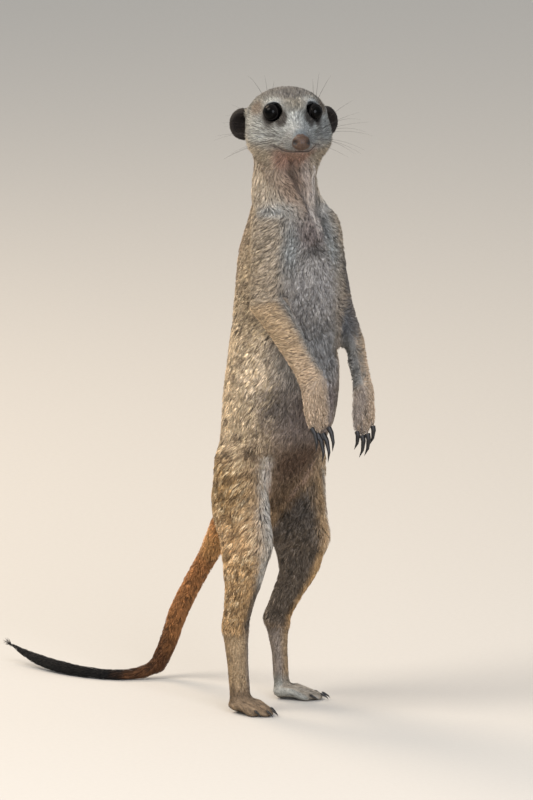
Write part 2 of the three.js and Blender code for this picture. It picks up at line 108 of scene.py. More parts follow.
def mottle(tree, shader, scale, detail, low, high, bump=None, stretch=None):
    # fine noise tints the piece between two colours, and with a bump (strength, distance) also roughens it
    place = addNode(tree, "ShaderNodeTexCoord").outputs["Object"]
    if stretch:
        place = addNode(tree, "ShaderNodeMapping", {"Scale": stretch}, {"Vector": place}).outputs["Vector"]
    noise = addNode(tree, "ShaderNodeTexNoise", {"Scale": scale, "Detail": detail}, {"Vector": place})
    tint = addNode(tree, "ShaderNodeMix", {"data_type": "RGBA", 6: rgba(low), 7: rgba(high)},
                   {0: noise.outputs["Fac"]})
    tree.links.new(tint.outputs[2], shader.inputs["Base Color"])
    if bump:
        raised = addNode(tree, "ShaderNodeBump", {"Strength": bump[0], "Distance": bump[1]},
                         {"Height": noise.outputs["Fac"]})
        tree.links.new(raised.outputs["Normal"], shader.inputs["Normal"])
    return tint.outputs[2]


def meshPiece(name, points, faces, materials, places=None):
    # faces is an array with one row of corners for each face, places is the UV place of each point
    mesh = bpy.data.meshes.new(name)
    mesh.vertices.add(len(points))
    mesh.vertices.foreach_set("co", np.asarray(points, np.float32).ravel())
    mesh.loops.add(faces.size)
    mesh.loops.foreach_set("vertex_index", faces.astype(np.int32).ravel())
    mesh.polygons.add(len(faces))
    mesh.polygons.foreach_set("loop_start", np.arange(0, faces.size, faces.shape[1], dtype=np.int32))
    for material in materials:
        mesh.materials.append(material)
    if places is not None:
        layer = mesh.uv_layers.new(name="OFBake")
        layer.data.foreach_set("uv", places[faces.ravel()].astype(np.float32).ravel())
    mesh.update(calc_edges=True)
    mesh.shade_smooth()
    piece = bpy.data.objects.new(name, mesh)
    scene.collection.objects.link(piece)
    return piece


def setAttribute(mesh, name, values):
    # one float or one colour for each vertex
    kind = "FLOAT" if values.ndim == 1 else "FLOAT_COLOR"
    if values.ndim == 2:
        values = np.concatenate([values, np.ones((len(values), 1))], axis=1)
    key = "value" if kind == "FLOAT" else "color"
    layer = mesh.attributes.new(name, kind, "POINT")
    layer.data.foreach_set(key, values.astype(np.float32).ravel())


def readAll(items, key, columns, kind=np.float32):
    # one setting of every item of a mesh, as the rows of an array
    values = np.zeros(len(items) * columns, kind)
    items.foreach_get(key, values)
    return values.reshape(-1, columns)


def waves(points, size, seed, count=7):
    # smooth noise between about -1 and 1: a few plane waves in random directions
    generator = np.random.default_rng(seed)
    directions = unit(generator.normal(size=(count, 3))) * generator.uniform(0.6, 1.5, (count, 1))
    phases = generator.uniform(0, 2 * math.pi, count)
    turns = (points @ directions.T) * (2 * math.pi / size) + phases
    return np.sin(turns).sum(axis=1) / math.sqrt(count)


view = {
    "azimuth": math.radians(-38), "elevation": math.radians(10), "distance": 11.0,
    "aim": (0.84 * mm, -52.53 * mm, 149.3 * mm),  # the point at the middle of the frame
    "pixelsPerMm": 2.08, "imageHeight": 800, "sensor": 36.0, "farClip": 60,
}
lights = {
    # degrees round from the camera and up, metres away and across, watts, colour
    "key": {"turn": -62, "rise": 46, "away": 1.6, "size": 1.0, "power": 22, "colour": "fff4e6"},
    "fill": {"turn": 20, "rise": 18, "away": 1.9, "size": 1.2, "power": 30, "colour": "f1f4ff"},
    "rim": {"turn": -140, "rise": 38, "away": 1.6, "size": 0.8, "power": 15, "colour": "ffe9cf"},
}
studio = {"aim": (0, -0.05, 0.17), "backdrop": "eef1f4", "glow": 0.7, "floorHalf": 9.0}


def towards(azimuth, elevation):
    # the way from the animal to the camera or a lamp
    level = math.cos(elevation)
    return Vector((math.sin(azimuth) * level, -math.cos(azimuth) * level, math.sin(elevation)))


def makeCamera():
    camera = bpy.data.objects.new("camera", bpy.data.cameras.new("camera"))
    scene.collection.objects.link(camera)
    back = towards(view["azimuth"], view["elevation"])
    camera.location = Vector(view["aim"]) + back * view["distance"]
    camera.rotation_euler = back.to_track_quat("Z", "Y").to_euler()
    frameHeight = view["imageHeight"] / view["pixelsPerMm"] * mm
    camera.data.sensor_width = view["sensor"]
    camera.data.lens = view["sensor"] * view["distance"] / frameHeight
    camera.data.clip_end = view["farClip"]
    scene.camera = camera


def makeLights():
    for name, spec in lights.items():
        lamp = bpy.data.lights.new(name, "AREA")
        lamp.shape = "DISK"
        lamp.size = spec["size"]
        lamp.energy = spec["power"]
        lamp.color = toLinear(spec["colour"])
        back = towards(view["azimuth"] + math.radians(spec["turn"]), math.radians(spec["rise"]))
        lampObject = bpy.data.objects.new(name, lamp)
        scene.collection.objects.link(lampObject)
        lampObject.location = Vector(studio["aim"]) + back * spec["away"]
        lampObject.rotation_euler = back.to_track_quat("Z", "Y").to_euler()
    world = bpy.data.worlds.new("studio")
    scene.world = world
    world.use_nodes = True
    backdrop = world.node_tree.nodes["Background"]
    backdrop.inputs["Color"].default_value = rgba(studio["backdrop"])
    backdrop.inputs["Strength"].default_value = studio["glow"]


def makeFloor():
    # matt studio paper, off-white with the faintest fibre grain
    material, tree, shader = newMaterial("mattPaper", {"Roughness": 0.9})
    mottle(tree, shader, 400.0, 3.0, "bdb9b2", "c3bfb8")
    half = studio["floorHalf"]
    corners = np.array([(-half, -half, 0), (half, -half, 0), (half, half, 0), (-half, half, 0)])
    floor = meshPiece("floor", corners, np.array([[0, 1, 2, 3]]), [material])


eyeFit = {
    "scale": 0.86,  # only the front of each ball shows between the lids, so it is smaller than the CAD's
    "deeper": 1.0, "outward": 1.0, "lower": {"right": 0.0, "left": 0.6},  # millimetres from its place there
    "look": {"right": (0.85, -0.5, 0.08), "left": (0.85, 0.38, 0.08)},  # ahead, to the left and up
}
eyeCentres = {side: np.array(sum(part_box("eye_" + side), Vector())) / 2 for side in ("right", "left")}
eyeRadius = (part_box("eye_right")[1].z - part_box("eye_right")[0].z) / 2 * eyeFit["scale"]
headMiddle = (eyeCentres["right"] + eyeCentres["left"]) / 2
headLeft = unit(eyeCentres["left"] - eyeCentres["right"])
headUp = np.array([0.0, 0.0, 1.0])
headAhead = np.cross(headLeft, headUp)
headAxes = np.array([headAhead, headLeft, headUp])


def eyeSeat(side, sign):
    shift = headUp * eyeFit["lower"][side] + headLeft * sign * eyeFit["outward"]
    return eyeCentres[side] - (shift + headAhead * eyeFit["deeper"]) * mm


eyeSeats = {"right": eyeSeat("right", 1), "left": eyeSeat("left", -1)}


def toHead(points):
    # millimetres ahead of, to the left of and above the point between the eyes
    return (points - headMiddle) @ headAxes.T / mm


def toHalfHead(points):
    # the same with the right side of the head folded over the left, because both are alike
    places = toHead(points)
    places[:, 1] = np.abs(places[:, 1])
    return places


def fromHead(places):
    return np.asarray(places, float) * mm @ headAxes + headMiddle


fleshNodes = sorted(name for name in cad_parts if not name.startswith(("eye_", "claw_")))

skinLook = {
    "voxel": 0.93 * mm,
    "smoothing": 26,  # rounds of smoothing on trunk and thighs, fewer on finer parts
    # flesh that closes the notch between chest and elbow, and where it is evened out afterwards
    "armpits": [((-16.5, -84.5, 207), 6.5), ((-15.5, -87, 200), 5), ((19.5, -82, 206), 6),
                ((18.5, -84, 199), 4.5)],
    "evened": [((-18.5, -90, 209), 10), ((20.5, -88, 207), 8)], "evenRounds": 30, "evenShare": 0.7,
}

# For each part of the body, in millimetres: how deep the coat is, how long and how wide a tuft is, tufts
# for each square millimetre, share of the smoothing, and how much the solid swells to close thin gaps.
coatKeys = ("depth", "length", "width", "count", "smooth", "swell")
coatLook = {
    "head": (0.8, 2.1, 0.24, 9.4, 0.35, 0.42),
    "nose": (0.7, 1.2, 0.20, 3.0, 0.30, 0.30),
    "ear": (0.4, 1.8, 0.24, 7.0, 0.25, 0.42),
    "neck": (1.6, 4.4, 0.28, 5.4, 0.90, 0.80),
    "chest": (1.8, 5.2, 0.28, 5.8, 1.00, 0.90),
    "abdomen": (1.9, 6.2, 0.31, 4.7, 1.00, 0.45),
    "upper_arm": (1.5, 4.6, 0.28, 5.2, 0.90, 0.90),
    "forearm": (1.1, 3.8, 0.27, 5.8, 0.70, 0.25),
    "hand": (0.75, 3.2, 0.26, 7.0, 0.12, 0.30),
    "thigh": (1.8, 6.2, 0.32, 4.3, 1.00, 0.80),
    "shank": (1.3, 4.8, 0.29, 4.9, 0.80, 0.60),
    "foot": (0.45, 2.1, 0.24, 6.6, 0.12, 0.42),
    "tail_base": (1.4, 4.4, 0.28, 4.8, 0.70, 0.42),
    "tail_middle": (0.9, 4.2, 0.26, 5.2, 0.50, 0.60),
    "tail_tip": (0.7, 4.0, 0.27, 5.4, 0.30, 0.42),
}


def partOf(node):
    return node.removesuffix("_right").removesuffix("_left")


def coatValues(key):
    # one value for each node of flesh
    return np.array([coatLook[partOf(name)][coatKeys.index(key)] for name in fleshNodes])


def readSolid(name):
    # a CAD solid as points shared between its faces, triangles and point normals
    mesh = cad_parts[name].data
    mesh.calc_loop_triangles()
    rounded = np.round(readAll(mesh.vertices, "co", 3).astype(float), 6)
    points, where = np.unique(rounded, axis=0, return_inverse=True)
    triangles = where.ravel()[readAll(mesh.loop_triangles, "vertices", 3, np.int32)]
    return points, triangles, pointNormals(points, triangles)


def pointNormals(points, faces):
    corners = [points[column] for column in faces.T]
    spans = np.cross(corners[1] - corners[0], corners[2] - corners[0])
    if len(corners) == 4:
        spans += np.cross(corners[2] - corners[0], corners[3] - corners[0])
    total = np.zeros_like(points)
    for column in faces.T:
        for axis in range(3):
            total[:, axis] += np.bincount(column, spans[:, axis], len(points))
    return unit(total)


def joinSolids(names, swells):
    # several solids as one soup of triangles, each swollen, with the number of its node for each face
    corners, faces, owners, total = [], [], [], 0
    for number, (name, swell) in enumerate(zip(names, swells)):
        points, triangles, normals = readSolid(name)
        corners.append(points + normals * swell)
        faces.append(triangles + total)
        owners.append(np.full(len(triangles), number))
        total += len(points)
    return np.concatenate(corners), np.concatenate(faces), np.concatenate(owners)


def remeshed(points, faces, voxel):
    rough = meshPiece("rough", points, faces, [])
    remesh = rough.modifiers.new("remesh", "REMESH")
    remesh.mode = "VOXEL"
    remesh.voxel_size = voxel
    mesh = bpy.data.meshes.new_from_object(rough.evaluated_get(bpy.context.evaluated_depsgraph_get()))
    bpy.data.objects.remove(rough)
    points = readAll(mesh.vertices, "co", 3).astype(float)
    corners = readAll(mesh.loops, "vertex_index", 1, np.int32)
    bpy.data.meshes.remove(mesh)
    return points, corners.reshape(-1, 4)


def neighbourTable(pairs, count):
    # the neighbours of each point in a row, padded with the point itself, and how many it has
    pairs = np.unique(np.concatenate([pairs, pairs[:, ::-1]]), axis=0)
    sizes = np.bincount(pairs[:, 0], minlength=count)
    starts = np.cumsum(sizes) - sizes
    table = np.repeat(np.arange(count)[:, None], sizes.max(), axis=1)
    table[pairs[:, 0], np.arange(len(pairs)) - starts[pairs[:, 0]]] = pairs[:, 1]
    return table, sizes


def octahedron(centre, radius):
    points = centre + radius * np.array([(1, 0, 0), (-1, 0, 0), (0, 1, 0), (0, -1, 0), (0, 0, 1), (0, 0, -1)])
    sides = ((0, 2), (2, 1), (1, 3), (3, 0))
    return points, np.array([(a, b, 4) for a, b in sides] + [(b, a, 5) for a, b in sides])


class Surface:
    # a closed mesh of quads as arrays, with the neighbours of each point

    def __init__(self, points, faces):
        self.points, self.faces = points, faces
        self.edges = np.concatenate([faces[:, [i, (i + 1) % 4]] for i in range(4)])
        self.table, self.sizes = neighbourTable(self.edges, len(points))

    def average(self, values):
        total = values[self.table].sum(axis=1)
        shape = (-1,) + (1,) * (values.ndim - 1)
        padding = (self.table.shape[1] - self.sizes).reshape(shape)
        return (total - values * padding) / self.sizes.reshape(shape)

    def soften(self, values, rounds, share=0.5):
        for _ in range(rounds):
            values = values + (self.average(values) - values) * share
        return values

    def relax(self, rounds, share):
        # out and back in turn, so that thin parts keep their size
        for _ in range(rounds):
            for step in (0.62, -0.32):
                self.points = self.points + (self.average(self.points) - self.points) * step * share
        return self

    def normals(self):
        return pointNormals(self.points, self.faces)


def partMask(skin, parts, rounds):
    # how far each point belongs to some parts of the body, faded across their borders
    numbers = [i for i, name in enumerate(fleshNodes) if partOf(name) in parts or name in parts]
    return skin.soften(np.isin(skin.owner, numbers).astype(float), rounds)


def buildSkin():
    corners, faces, owners = joinSolids(fleshNodes, coatValues("swell") * mm)
    for centre, radius in skinLook["armpits"]:
        ball, ballFaces = octahedron(np.array(centre) * mm, radius * mm)
        faces = np.concatenate([faces, ballFaces + len(corners)])
        corners = np.concatenate([corners, ball])
        owners = np.append(owners, np.full(len(ballFaces), fleshNodes.index("chest")))
    finder = BVHTree.FromPolygons(corners.tolist(), faces.tolist())
    skin = Surface(*remeshed(corners, faces, skinLook["voxel"]))
    skin.owner = np.array([owners[finder.find_nearest(point)[2]] for point in skin.points.tolist()])
    skin.values = {key: skin.soften(coatValues(key)[skin.owner], 12 if key in ("smooth", "count") else 30)
                   for key in coatKeys}
    skin.relax(skinLook["smoothing"], skin.values["smooth"][:, None])
    inward = skin.values["depth"] + skin.values["swell"] * 0.85
    skin.points = skin.points - skin.normals() * (inward * mm)[:, None]
    skin.points = skin.soften(skin.points, 2, 0.35)
    return skin


# Each stroke runs over the skin: how far it lifts it (a groove is negative), half its breadth, its colour in
# the coat and how much of it, and its path. Millimetres, as in the patches below.
strokeKeys = ("rise", "width", "colour", "amount", "path")
headStrokes = [
    # in the head's own axes, on both sides of it: mouth, upper lip, cleft of the nose, before the ear
    (-0.5, 0.6, "33241c", 0.8, [(4.5, 11.4, -15.4), (9.0, 8.4, -16.3), (14.0, 5.0, -17.2),
                                (18.2, 0.0, -17.1)]),
    (0.35, 1.1, "b9b6ac", 0.25, [(5.0, 11.6, -13.4), (9.5, 8.9, -14.3), (14.2, 5.4, -15.2)]),
    (-0.35, 0.5, "4a362a", 0.6, [(24.6, 0, -14.0), (21.5, 0, -16.0), (18.8, 0, -17.2)]),
    (-0.5, 2.0, "4d463d", 0.5, [(-20, 17.5, -17), (-24, 18.5, -9), (-23, 17.5, -1)]),
]
bodyStrokes = [
    # creases and folds of the turned neck, with painted shade in the creases and painted light on the ridges
    # over the pale throat
    (-1.9, 1.7, "261c15", 0.95, [(-9.4, -84.3, 269.7), (-5.3, -82.9, 260.8), (-3, -85.8, 253.6),
                                 (-1.8, -89, 247.1)]),
    (0.9, 2.4, "c8bbb0", 0.75, [(0.4, -83.8, 268), (-0.6, -85.8, 259), (-0.7, -87.8, 252)]),
    (0.5, 0.9, "dcd4cc", 0.8, [(5.3, -85, 266), (3.4, -85.8, 259), (0.7, -87.4, 252.4), (-1.1, -88.1, 249.3),
                               (0.7, -90.5, 244), (2.1, -91.8, 239)]),
    (-1.2, 2.6, "6f6a64", 0.6, [(8.9, -80.8, 264), (5.9, -84.8, 253), (5.4, -87.8, 246), (7.9, -89.8, 238)]),
    (0.5, 3.0, "a08c7a", 0.5, [(-16.1, -70.6, 267.6), (-11.2, -82.2, 258.9), (-4.6, -87.9, 248.2)]),
    # the pit in the middle of the chest, darkened with painted shade, and the lines where its hair parts
    (-0.7, 2.0, "2f2b28", 0.65, [(-1.7, -92.8, 230.2), (-1.7, -92.8, 228.6)]),
    (-0.3, 1.3, "45403b", 0.3, [(-1.7, -92.8, 229.3), (-5.2, -92.5, 228.4), (-10.1, -91, 225.3),
                                (-13.2, -91.1, 221.8), (-14.2, -91.6, 212.7)]),
    (-0.3, 1.3, "45403b", 0.3, [(-1.7, -92.8, 229.3), (2.9, -93.9, 226.7), (7.9, -92.3, 223.8),
                                (13.6, -88.8, 221)]),
    # bare folds of the groin
    (0.7, 1.1, "c0a391", 0.85, [(13.4, -75.8, 123), (11, -71.8, 116.4), (7.4, -67.9, 109.9),
                                (5.6, -64.6, 105.2)]),
    (0.7, 1.1, "c0a391", 0.85, [(-15.6, -75.8, 123), (-13.2, -71.8, 116.4), (-9.6, -67.9, 109.9),
                                (-7.8, -64.6, 105.2)]),
    # pale edges of the thighs
    (0.0, 3.0, "cbc6bc", 0.7, [(-16.2, -75.4, 127), (-15.3, -71.2, 109), (-17.6, -75.8, 100),
                               (-20.5, -80.2, 92), (-22.4, -82.6, 82), (-17.6, -73.4, 68)]),
    (0.0, 2.0, "cbc6bc", 0.6, [(28, -80, 118), (30, -76, 108), (31, -74, 98), (31, -74, 88), (30, -76, 78)]),
    # teats
    (0.5, 0.7, "33231c", 0.9, [(-11, -86.7, 138.4), (-11, -86.7, 137.9)]),
    (0.5, 0.7, "33231c", 0.9, [(-0.4, -95, 180), (-0.4, -95, 179.5)]),
]
headStrokes, bodyStrokes = ([dict(zip(strokeKeys, stroke)) for stroke in strokes]
                            for strokes in (headStrokes, bodyStrokes))


def distanceToPath(points, path):
    path = np.asarray(path, float)
    best = np.full(len(points), 1e9)
    for start, end in zip(path[:-1], path[1:]):
        line = end - start
        t = np.clip((points - start) @ line / (line @ line), 0, 1)
        best = np.minimum(best, np.linalg.norm(points - start - t[:, None] * line, axis=1))
    return best


def strokeStrength(points, stroke, onHead):
    # 1 along the middle of the stroke and 0 away from it
    place = toHalfHead(points) if onHead else points / mm
    return bell(distanceToPath(place, stroke["path"]), stroke["width"])


def onSkin(finder, path, onHead=False):
    # the same path with more points, each moved onto the skin
    path = np.asarray(path, float)
    steps = np.concatenate([np.linspace(a, b, 4)[:-1] for a, b in zip(path[:-1], path[1:])] + [path[-1:]])
    goals = fromHead(steps * (1, -1, 1)) if onHead else steps * mm
    spots = np.array([finder.find_nearest(goal)[0] for goal in goals.tolist()])
    return toHalfHead(spots) if onHead else spots / mm


def toeGrooves():
    # a line between each two toes or fingers, back from their claws
    paths = []
    for paw in ("foot_right", "foot_left", "hand_right", "hand_left"):
        roots = []
        for number in range(1, 5):
            low, high = (np.array(corner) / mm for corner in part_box(f"claw_{paw}_{number}"))
            roots.append((low + high) / 2)
        back = np.cross(roots[3] - roots[0], headUp)
        back = unit(back) * (1 if back[1] > 0 else -1)
        for first, second in zip(roots[:-1], roots[1:]):
            middle = (first + second) / 2
            if "foot" in paw:
                paths.append([middle + (0, 0, 3.5) - back * 2, middle + (0, 0, 4.5) + back * 13])
            else:
                paths.append([middle + (0, 0, 6) - back, middle + (0, 0, 17) + back * 2])
    return paths


sculptLook = {
    "toeDepth": 0.9, "toeWidth": 0.75,  # grooves between the toes, in millimetres
    "wallRise": 0.6, "wallReach": 6.4, "wallWidth": 1.6,  # brow and cheek stand up round each eye
    "lidRounds": 16, "lidShare": 0.6,
    "lidOver": 1.06, "lidAngle": 1.9,  # the skin over the ball, in its radii, and how far round it goes
    "openNear": 1.3, "openDepth": 0.8,  # the skin where the eye is open, and where it goes, in radii
}


def eyeAxes(side):
    # where the eye looks, the way towards the temple, and up
    ahead, left, up = eyeFit["look"][side]
    sign = 1 if left > 0 else -1
    look = unit(headAhead * ahead + headLeft * left + headUp * up)
    outward = unit(np.cross(headUp, look)) * sign
    return look, outward, unit(np.cross(look, outward) * sign)


def roundEye(side, points):
    # from the middle of an eye: the way to each point, how far it is, and how straight ahead of the eye
    offset = points - eyeSeats[side]
    distance = np.linalg.norm(offset, axis=1)
    return offset, distance, offset @ eyeAxes(side)[0] / np.maximum(distance, 1e-9)


def sculpt(skin):
    look = sculptLook
    normals = skin.normals()
    finder = BVHTree.FromPolygons(skin.points.tolist(), skin.faces.tolist())
    rise = np.zeros(len(skin.points))
    for strokes, onHead in ((headStrokes, True), (bodyStrokes, False)):
        for stroke in strokes:
            stroke["path"] = onSkin(finder, stroke["path"], onHead)
            rise += strokeStrength(skin.points, stroke, onHead) * stroke["rise"]
    for path in toeGrooves():
        groove = bell(distanceToPath(skin.points / mm, onSkin(finder, path)), look["toeWidth"])
        rise -= look["toeDepth"] * groove
    for side in eyeSeats:
        _, distance, ahead = roundEye(side, skin.points)
        wall = bell(distance / mm - look["wallReach"], look["wallWidth"])
        rise += smoothStep(-0.1, 0.5, ahead) * look["wallRise"] * wall
    skin.points = skin.points + normals * (rise * mm)[:, None]
    for centre, reach in skinLook["evened"]:
        near = smoothStep(reach, 0.4 * reach, away(skin.points / mm, centre))
        for _ in range(skinLook["evenRounds"]):
            skin.points += (skin.average(skin.points) - skin.points) * (skinLook["evenShare"] * near)[:, None]
    # the skin is drawn over each eyeball like a shut lid, and then opened over its front
    for side, centre in eyeSeats.items():
        near = smoothStep(2.6, 1.5, roundEye(side, skin.points)[1] / eyeRadius)
        for _ in range(look["lidRounds"]):
            skin.points += (skin.average(skin.points) - skin.points) * (look["lidShare"] * near)[:, None]
            offset, distance, ahead = roundEye(side, skin.points)
            angle = np.arccos(np.clip(ahead, -1, 1))
            sunk = (distance < eyeRadius * look["lidOver"]) & (angle < look["lidAngle"])
            skin.points[sunk] = centre + unit(offset[sunk]) * eyeRadius * look["lidOver"]
            offset[sunk] = skin.points[sunk] - centre
        inside = (distance < eyeRadius * look["openNear"]) & (angle < eyeLook["socket"])
        skin.points[inside] = centre + unit(offset[inside]) * eyeRadius * look["openDepth"]


def distanceFromNose(skin):
    # steps along the skin from the tip of the nose, shortest way round
    start = int(np.argmax(toHead(skin.points)[:, 0]))
    links = [row[:size] for row, size in zip(skin.table.tolist(), skin.sizes.tolist())]
    for a, b in np.concatenate([skin.faces[:, [0, 2]], skin.faces[:, [1, 3]]]).tolist():
        links[a].append(b)
        links[b].append(a)
    where = skin.points.tolist()
    distance = [1e9] * len(where)
    distance[start] = 0.0
    queue = [(0.0, start)]
    while queue:
        far, a = heapq.heappop(queue)
        if far > distance[a]:
            continue
        for b in links[a]:
            step = far + math.dist(where[a], where[b])
            if step < distance[b]:
                distance[b] = step
                heapq.heappush(queue, (step, b))
    return skin.soften(np.array(distance), 20)


# Where the hair points on each part: out to its side, ahead and up, for the front of the part and then for
# the rest of it, with how far this overrides the run away from the nose.
flowLook = {
    "neck": ((-0.50, 0.25, -0.85), (-0.15, -0.10, -1.0), 0.85),
    "chest": ((0.30, 0.00, -0.95), (0.05, -0.40, -0.85), 0.9),
    "abdomen": ((0.12, 0.00, -1.00), (0.10, -0.52, -0.80), 0.9),
    "upper_arm": ((0.45, -0.45, -0.75), (0.30, -0.60, -0.75), 0.9),
    "forearm": ((0.80, -0.60, -0.35), (0.60, -0.70, -0.50), 0.9),
    "hand": ((0.15, 0.10, -1.00), (0.15, 0.00, -1.00), 0.7),
    "thigh": ((0.05, -0.62, -0.70), (0.05, -0.62, -0.75), 0.9),
    "shank": ((0.10, -0.52, -0.80), (0.10, -0.52, -0.80), 0.9),
}
whorlLook = {"at": (-1.7, -92.8, 229.3), "reach": 9.0, "strength": 2.2}  # the hair parts on the breastbone


def layCoat(skin):
    # the hair runs away from the nose, over the head and down the body, limbs and tail
    normals = skin.normals()
    reach = distanceFromNose(skin)
    offsets = skin.points[skin.table] - skin.points[:, None]
    lengths = np.maximum((offsets ** 2).sum(axis=2), 1e-12)
    rises = reach[skin.table] - reach[:, None]
    flow = unit((offsets * (rises / lengths)[:, :, None]).sum(axis=1))
    place, head = skin.points / mm, toHead(skin.points)
    # over the head it runs straight back, and down over the nape
    back = head - (27, 0, -11)
    back[:, 2] -= np.maximum(-head[:, 0] - 8, 0)
    flow += (unit(back @ headAxes) - flow) * partMask(skin, ("head", "ear"), 14)[:, None]
    side = np.tanh(place[:, 0] / 4)
    for part, (ahead, behind, share) in flowLook.items():
        mask = partMask(skin, (part,), 14) * share
        front = smoothStep(*(0.0, -0.7) if part == "neck" else (-0.65, -0.95), normals[:, 1])
        lie = np.array(behind) + front[:, None] * (np.array(ahead) - np.array(behind))
        lie = lie * np.stack([side, -np.ones_like(side), np.ones_like(side)], axis=1)
        flow += (unit(squareTo(lie, normals)) - flow) * mask[:, None]
    # the hair on the shank of the foot lies down and back, and along the toes
    upright = partMask(skin, ("foot",), 6) * smoothStep(11, 17, place[:, 2])
    flow += (np.array([0.0, 0.35, -0.9]) - flow) * upright[:, None]
    whorl = place - whorlLook["at"]
    radial = bell(np.linalg.norm(whorl, axis=1), whorlLook["reach"]) * smoothStep(5, -2, whorl[:, 2])
    flow += unit(whorl) * (whorlLook["strength"] * radial)[:, None]
    for _ in range(6):
        flow = skin.soften(unit(squareTo(flow, normals)), 2)
    skin.flow = unit(squareTo(flow, normals))


def findStreaks(skin):
    # noise drawn out along the lie of the coat, with a spread of 1
    diagonals = np.concatenate([skin.faces[:, [0, 2]], skin.faces[:, [1, 3]]])
    table, _ = neighbourTable(np.concatenate([skin.edges, diagonals]), len(skin.points))
    offsets = unit(skin.points[table] - skin.points[:, None])
    weights = (offsets * skin.flow[:, None]).sum(axis=2) ** 8
    weights /= np.maximum(weights.sum(axis=1, keepdims=True), 1e-9)
    values = np.random.default_rng(markLook["streakSeed"]).normal(size=len(skin.points))
    for _ in range(markLook["streakRounds"]):
        values = 0.4 * values + 0.6 * (values[table] * weights).sum(axis=1)
    return values / values.std()


# three of these colours are painted shade: for the inner legs, the far arm, and the belly under the forearms
palette = {
    "slate": "706f6e", "ash": "959289", "silver": "b0b4b3", "pewter": "767f84", "oat": "b3a693",
    "drab": "857a76", "fawn": "cbb89c", "sand": "a8927a", "tan": "a5885f", "umber": "5f4b3d",
    "bark": "4a382e", "smoke": "8a8987", "shade": "57524d", "ochre": "a8764a", "gold": "b89f7e",
    "buff": "b0a08a", "clay": "8c7565", "chalk": "a0a3a1", "flint": "878886", "blush": "b09080",
    "farArmShade": "5c5d60", "dove": "a0958c", "wheat": "bea685", "pearl": "aeaaa6", "flax": "cdb69c",
    "cream": "dccab0", "forearmShadow": "6c645d", "honey": "cc9d68", "corn": "cfae84", "ecru": "b8976c",
    "bleach": "b7b8b0", "dun": "957f66", "mist": "a9aaa8", "haze": "a6aaaa",
}

# Colours of the coat by place: colour, place, reach. Each patch fades into its neighbours. Places are in
# millimetres, on the head from the point between the eyes and in its own axes, elsewhere in the frame.
headPatches = [
    ("slate", (-18, 0, 9), 10), ("slate", (-6, 0, 9), 6), ("silver", (-1.5, 10.5, 6.5), 4.5),
    ("ash", (3, 0, 4), 5), ("silver", (11, 0, -3), 7), ("pewter", (20, 0, -7.5), 3.5),
    ("chalk", (-3, 17, -9), 9), ("chalk", (9, 9, -9), 5), ("flint", (16, 5, -13), 4),
    ("blush", (13, 0, -20), 5.5), ("blush", (4, 5, -22), 5), ("oat", (-6, 14, -20), 8),
    ("ash", (-36, 0, -4), 11), ("ash", (-22, 14, 0), 7),
]
bodyPatches = [
    ("clay", (-7.1, -85.8, 262), 7), ("oat", (-19.1, -65.8, 258), 12), ("oat", (16.9, -69.8, 258), 12),
    ("sand", (0.9, -49.8, 255), 14), ("drab", (-3.1, -92.8, 238), 8), ("chalk", (-15.1, -83.8, 232), 11),
    ("chalk", (12.9, -83.8, 232), 11), ("pearl", (-1.1, -95.8, 212), 14), ("fawn", (-27.1, -67.8, 222), 13),
    ("fawn", (24.9, -67.8, 222), 13), ("sand", (-1.1, -41.8, 225), 20), ("smoke", (-1.1, -95.8, 178), 18),
    ("drab", (0.9, -93.8, 152), 16), ("umber", (0.9, -83.8, 122), 14), ("bark", (0.9, -71.8, 100), 10),
    ("fawn", (-27.1, -57.8, 185), 18), ("fawn", (24.9, -57.8, 185), 18), ("sand", (-1.1, -37.8, 180), 22),
    ("fawn", (-29.1, -55.8, 148), 16), ("fawn", (27.9, -55.8, 148), 16), ("sand", (-1.1, -35.8, 142), 20),
    ("tan", (-29.1, -53.8, 112), 14), ("tan", (29.9, -50.8, 112), 14), ("tan", (-1.1, -37.8, 108), 13),
    ("mist", (18.3, -86, 238), 9), ("haze", (-22.5, -78.5, 241), 7),
    ("corn", (-25.1, -57.8, 78), 16), ("corn", (24.9, -47.8, 78), 16), ("ochre", (-1.1, -29.8, 88), 10),
    # the dark patches at the sides of the belly below the forearms are the forearms' painted shadow over the
    # grey-brown belly
    ("cream", (-25.2, -76.8, 170), 9), ("cream", (25.2, -76.8, 170), 9), ("forearmShadow", (-18.5, -87.8, 157), 9),
    ("forearmShadow", (18.5, -87.8, 157), 9), ("chalk", (-20, -80, 243), 8), ("chalk", (20, -80, 243), 8),
    ("honey", (-6, -19, 74), 12),
    ("ochre", (-0.1, 0.2, 60), 20), ("ochre", (4.9, 24.2, 30), 20),
]

markLook = {
    "eyeRing": "171310", "eyePatch": "3e3833", "temple": "6f5a46", "ear": "26201c", "nose": "5d4233",
    # middle and reach of the dark ring round each eye, and how much narrower it is to its outer side, above
    # and below; middle and reach of the softer patch on its inner side and of the brown temple
    "ringAt": (-0.6, 10.0, -0.5), "ringReach": 6.3, "ringOut": 1.2, "ringUp": 1.35, "ringDown": 0.86,
    "patchAt": (6.4, 6.8, -2.2), "patchReach": (4.5, 3.1, 4.6),
    "templeAt": (-9, 16, 0.5), "templeReach": (6, 5, 4.5),
    "band": "3f2f22", "bandAmount": 0.74, "bandSpacing": 9.5,  # dark bands over rump and thighs
    "pale": "d6c3a2", "streakRounds": 7, "streakSeed": 31,  # more rounds draw the streaks out longer
    "tailTip": "0a0909", "tailTipStart": 40, "tailBend": "4a2e1c",
    "crimp": "4c443a", "crimpSpacing": 2.6,
}


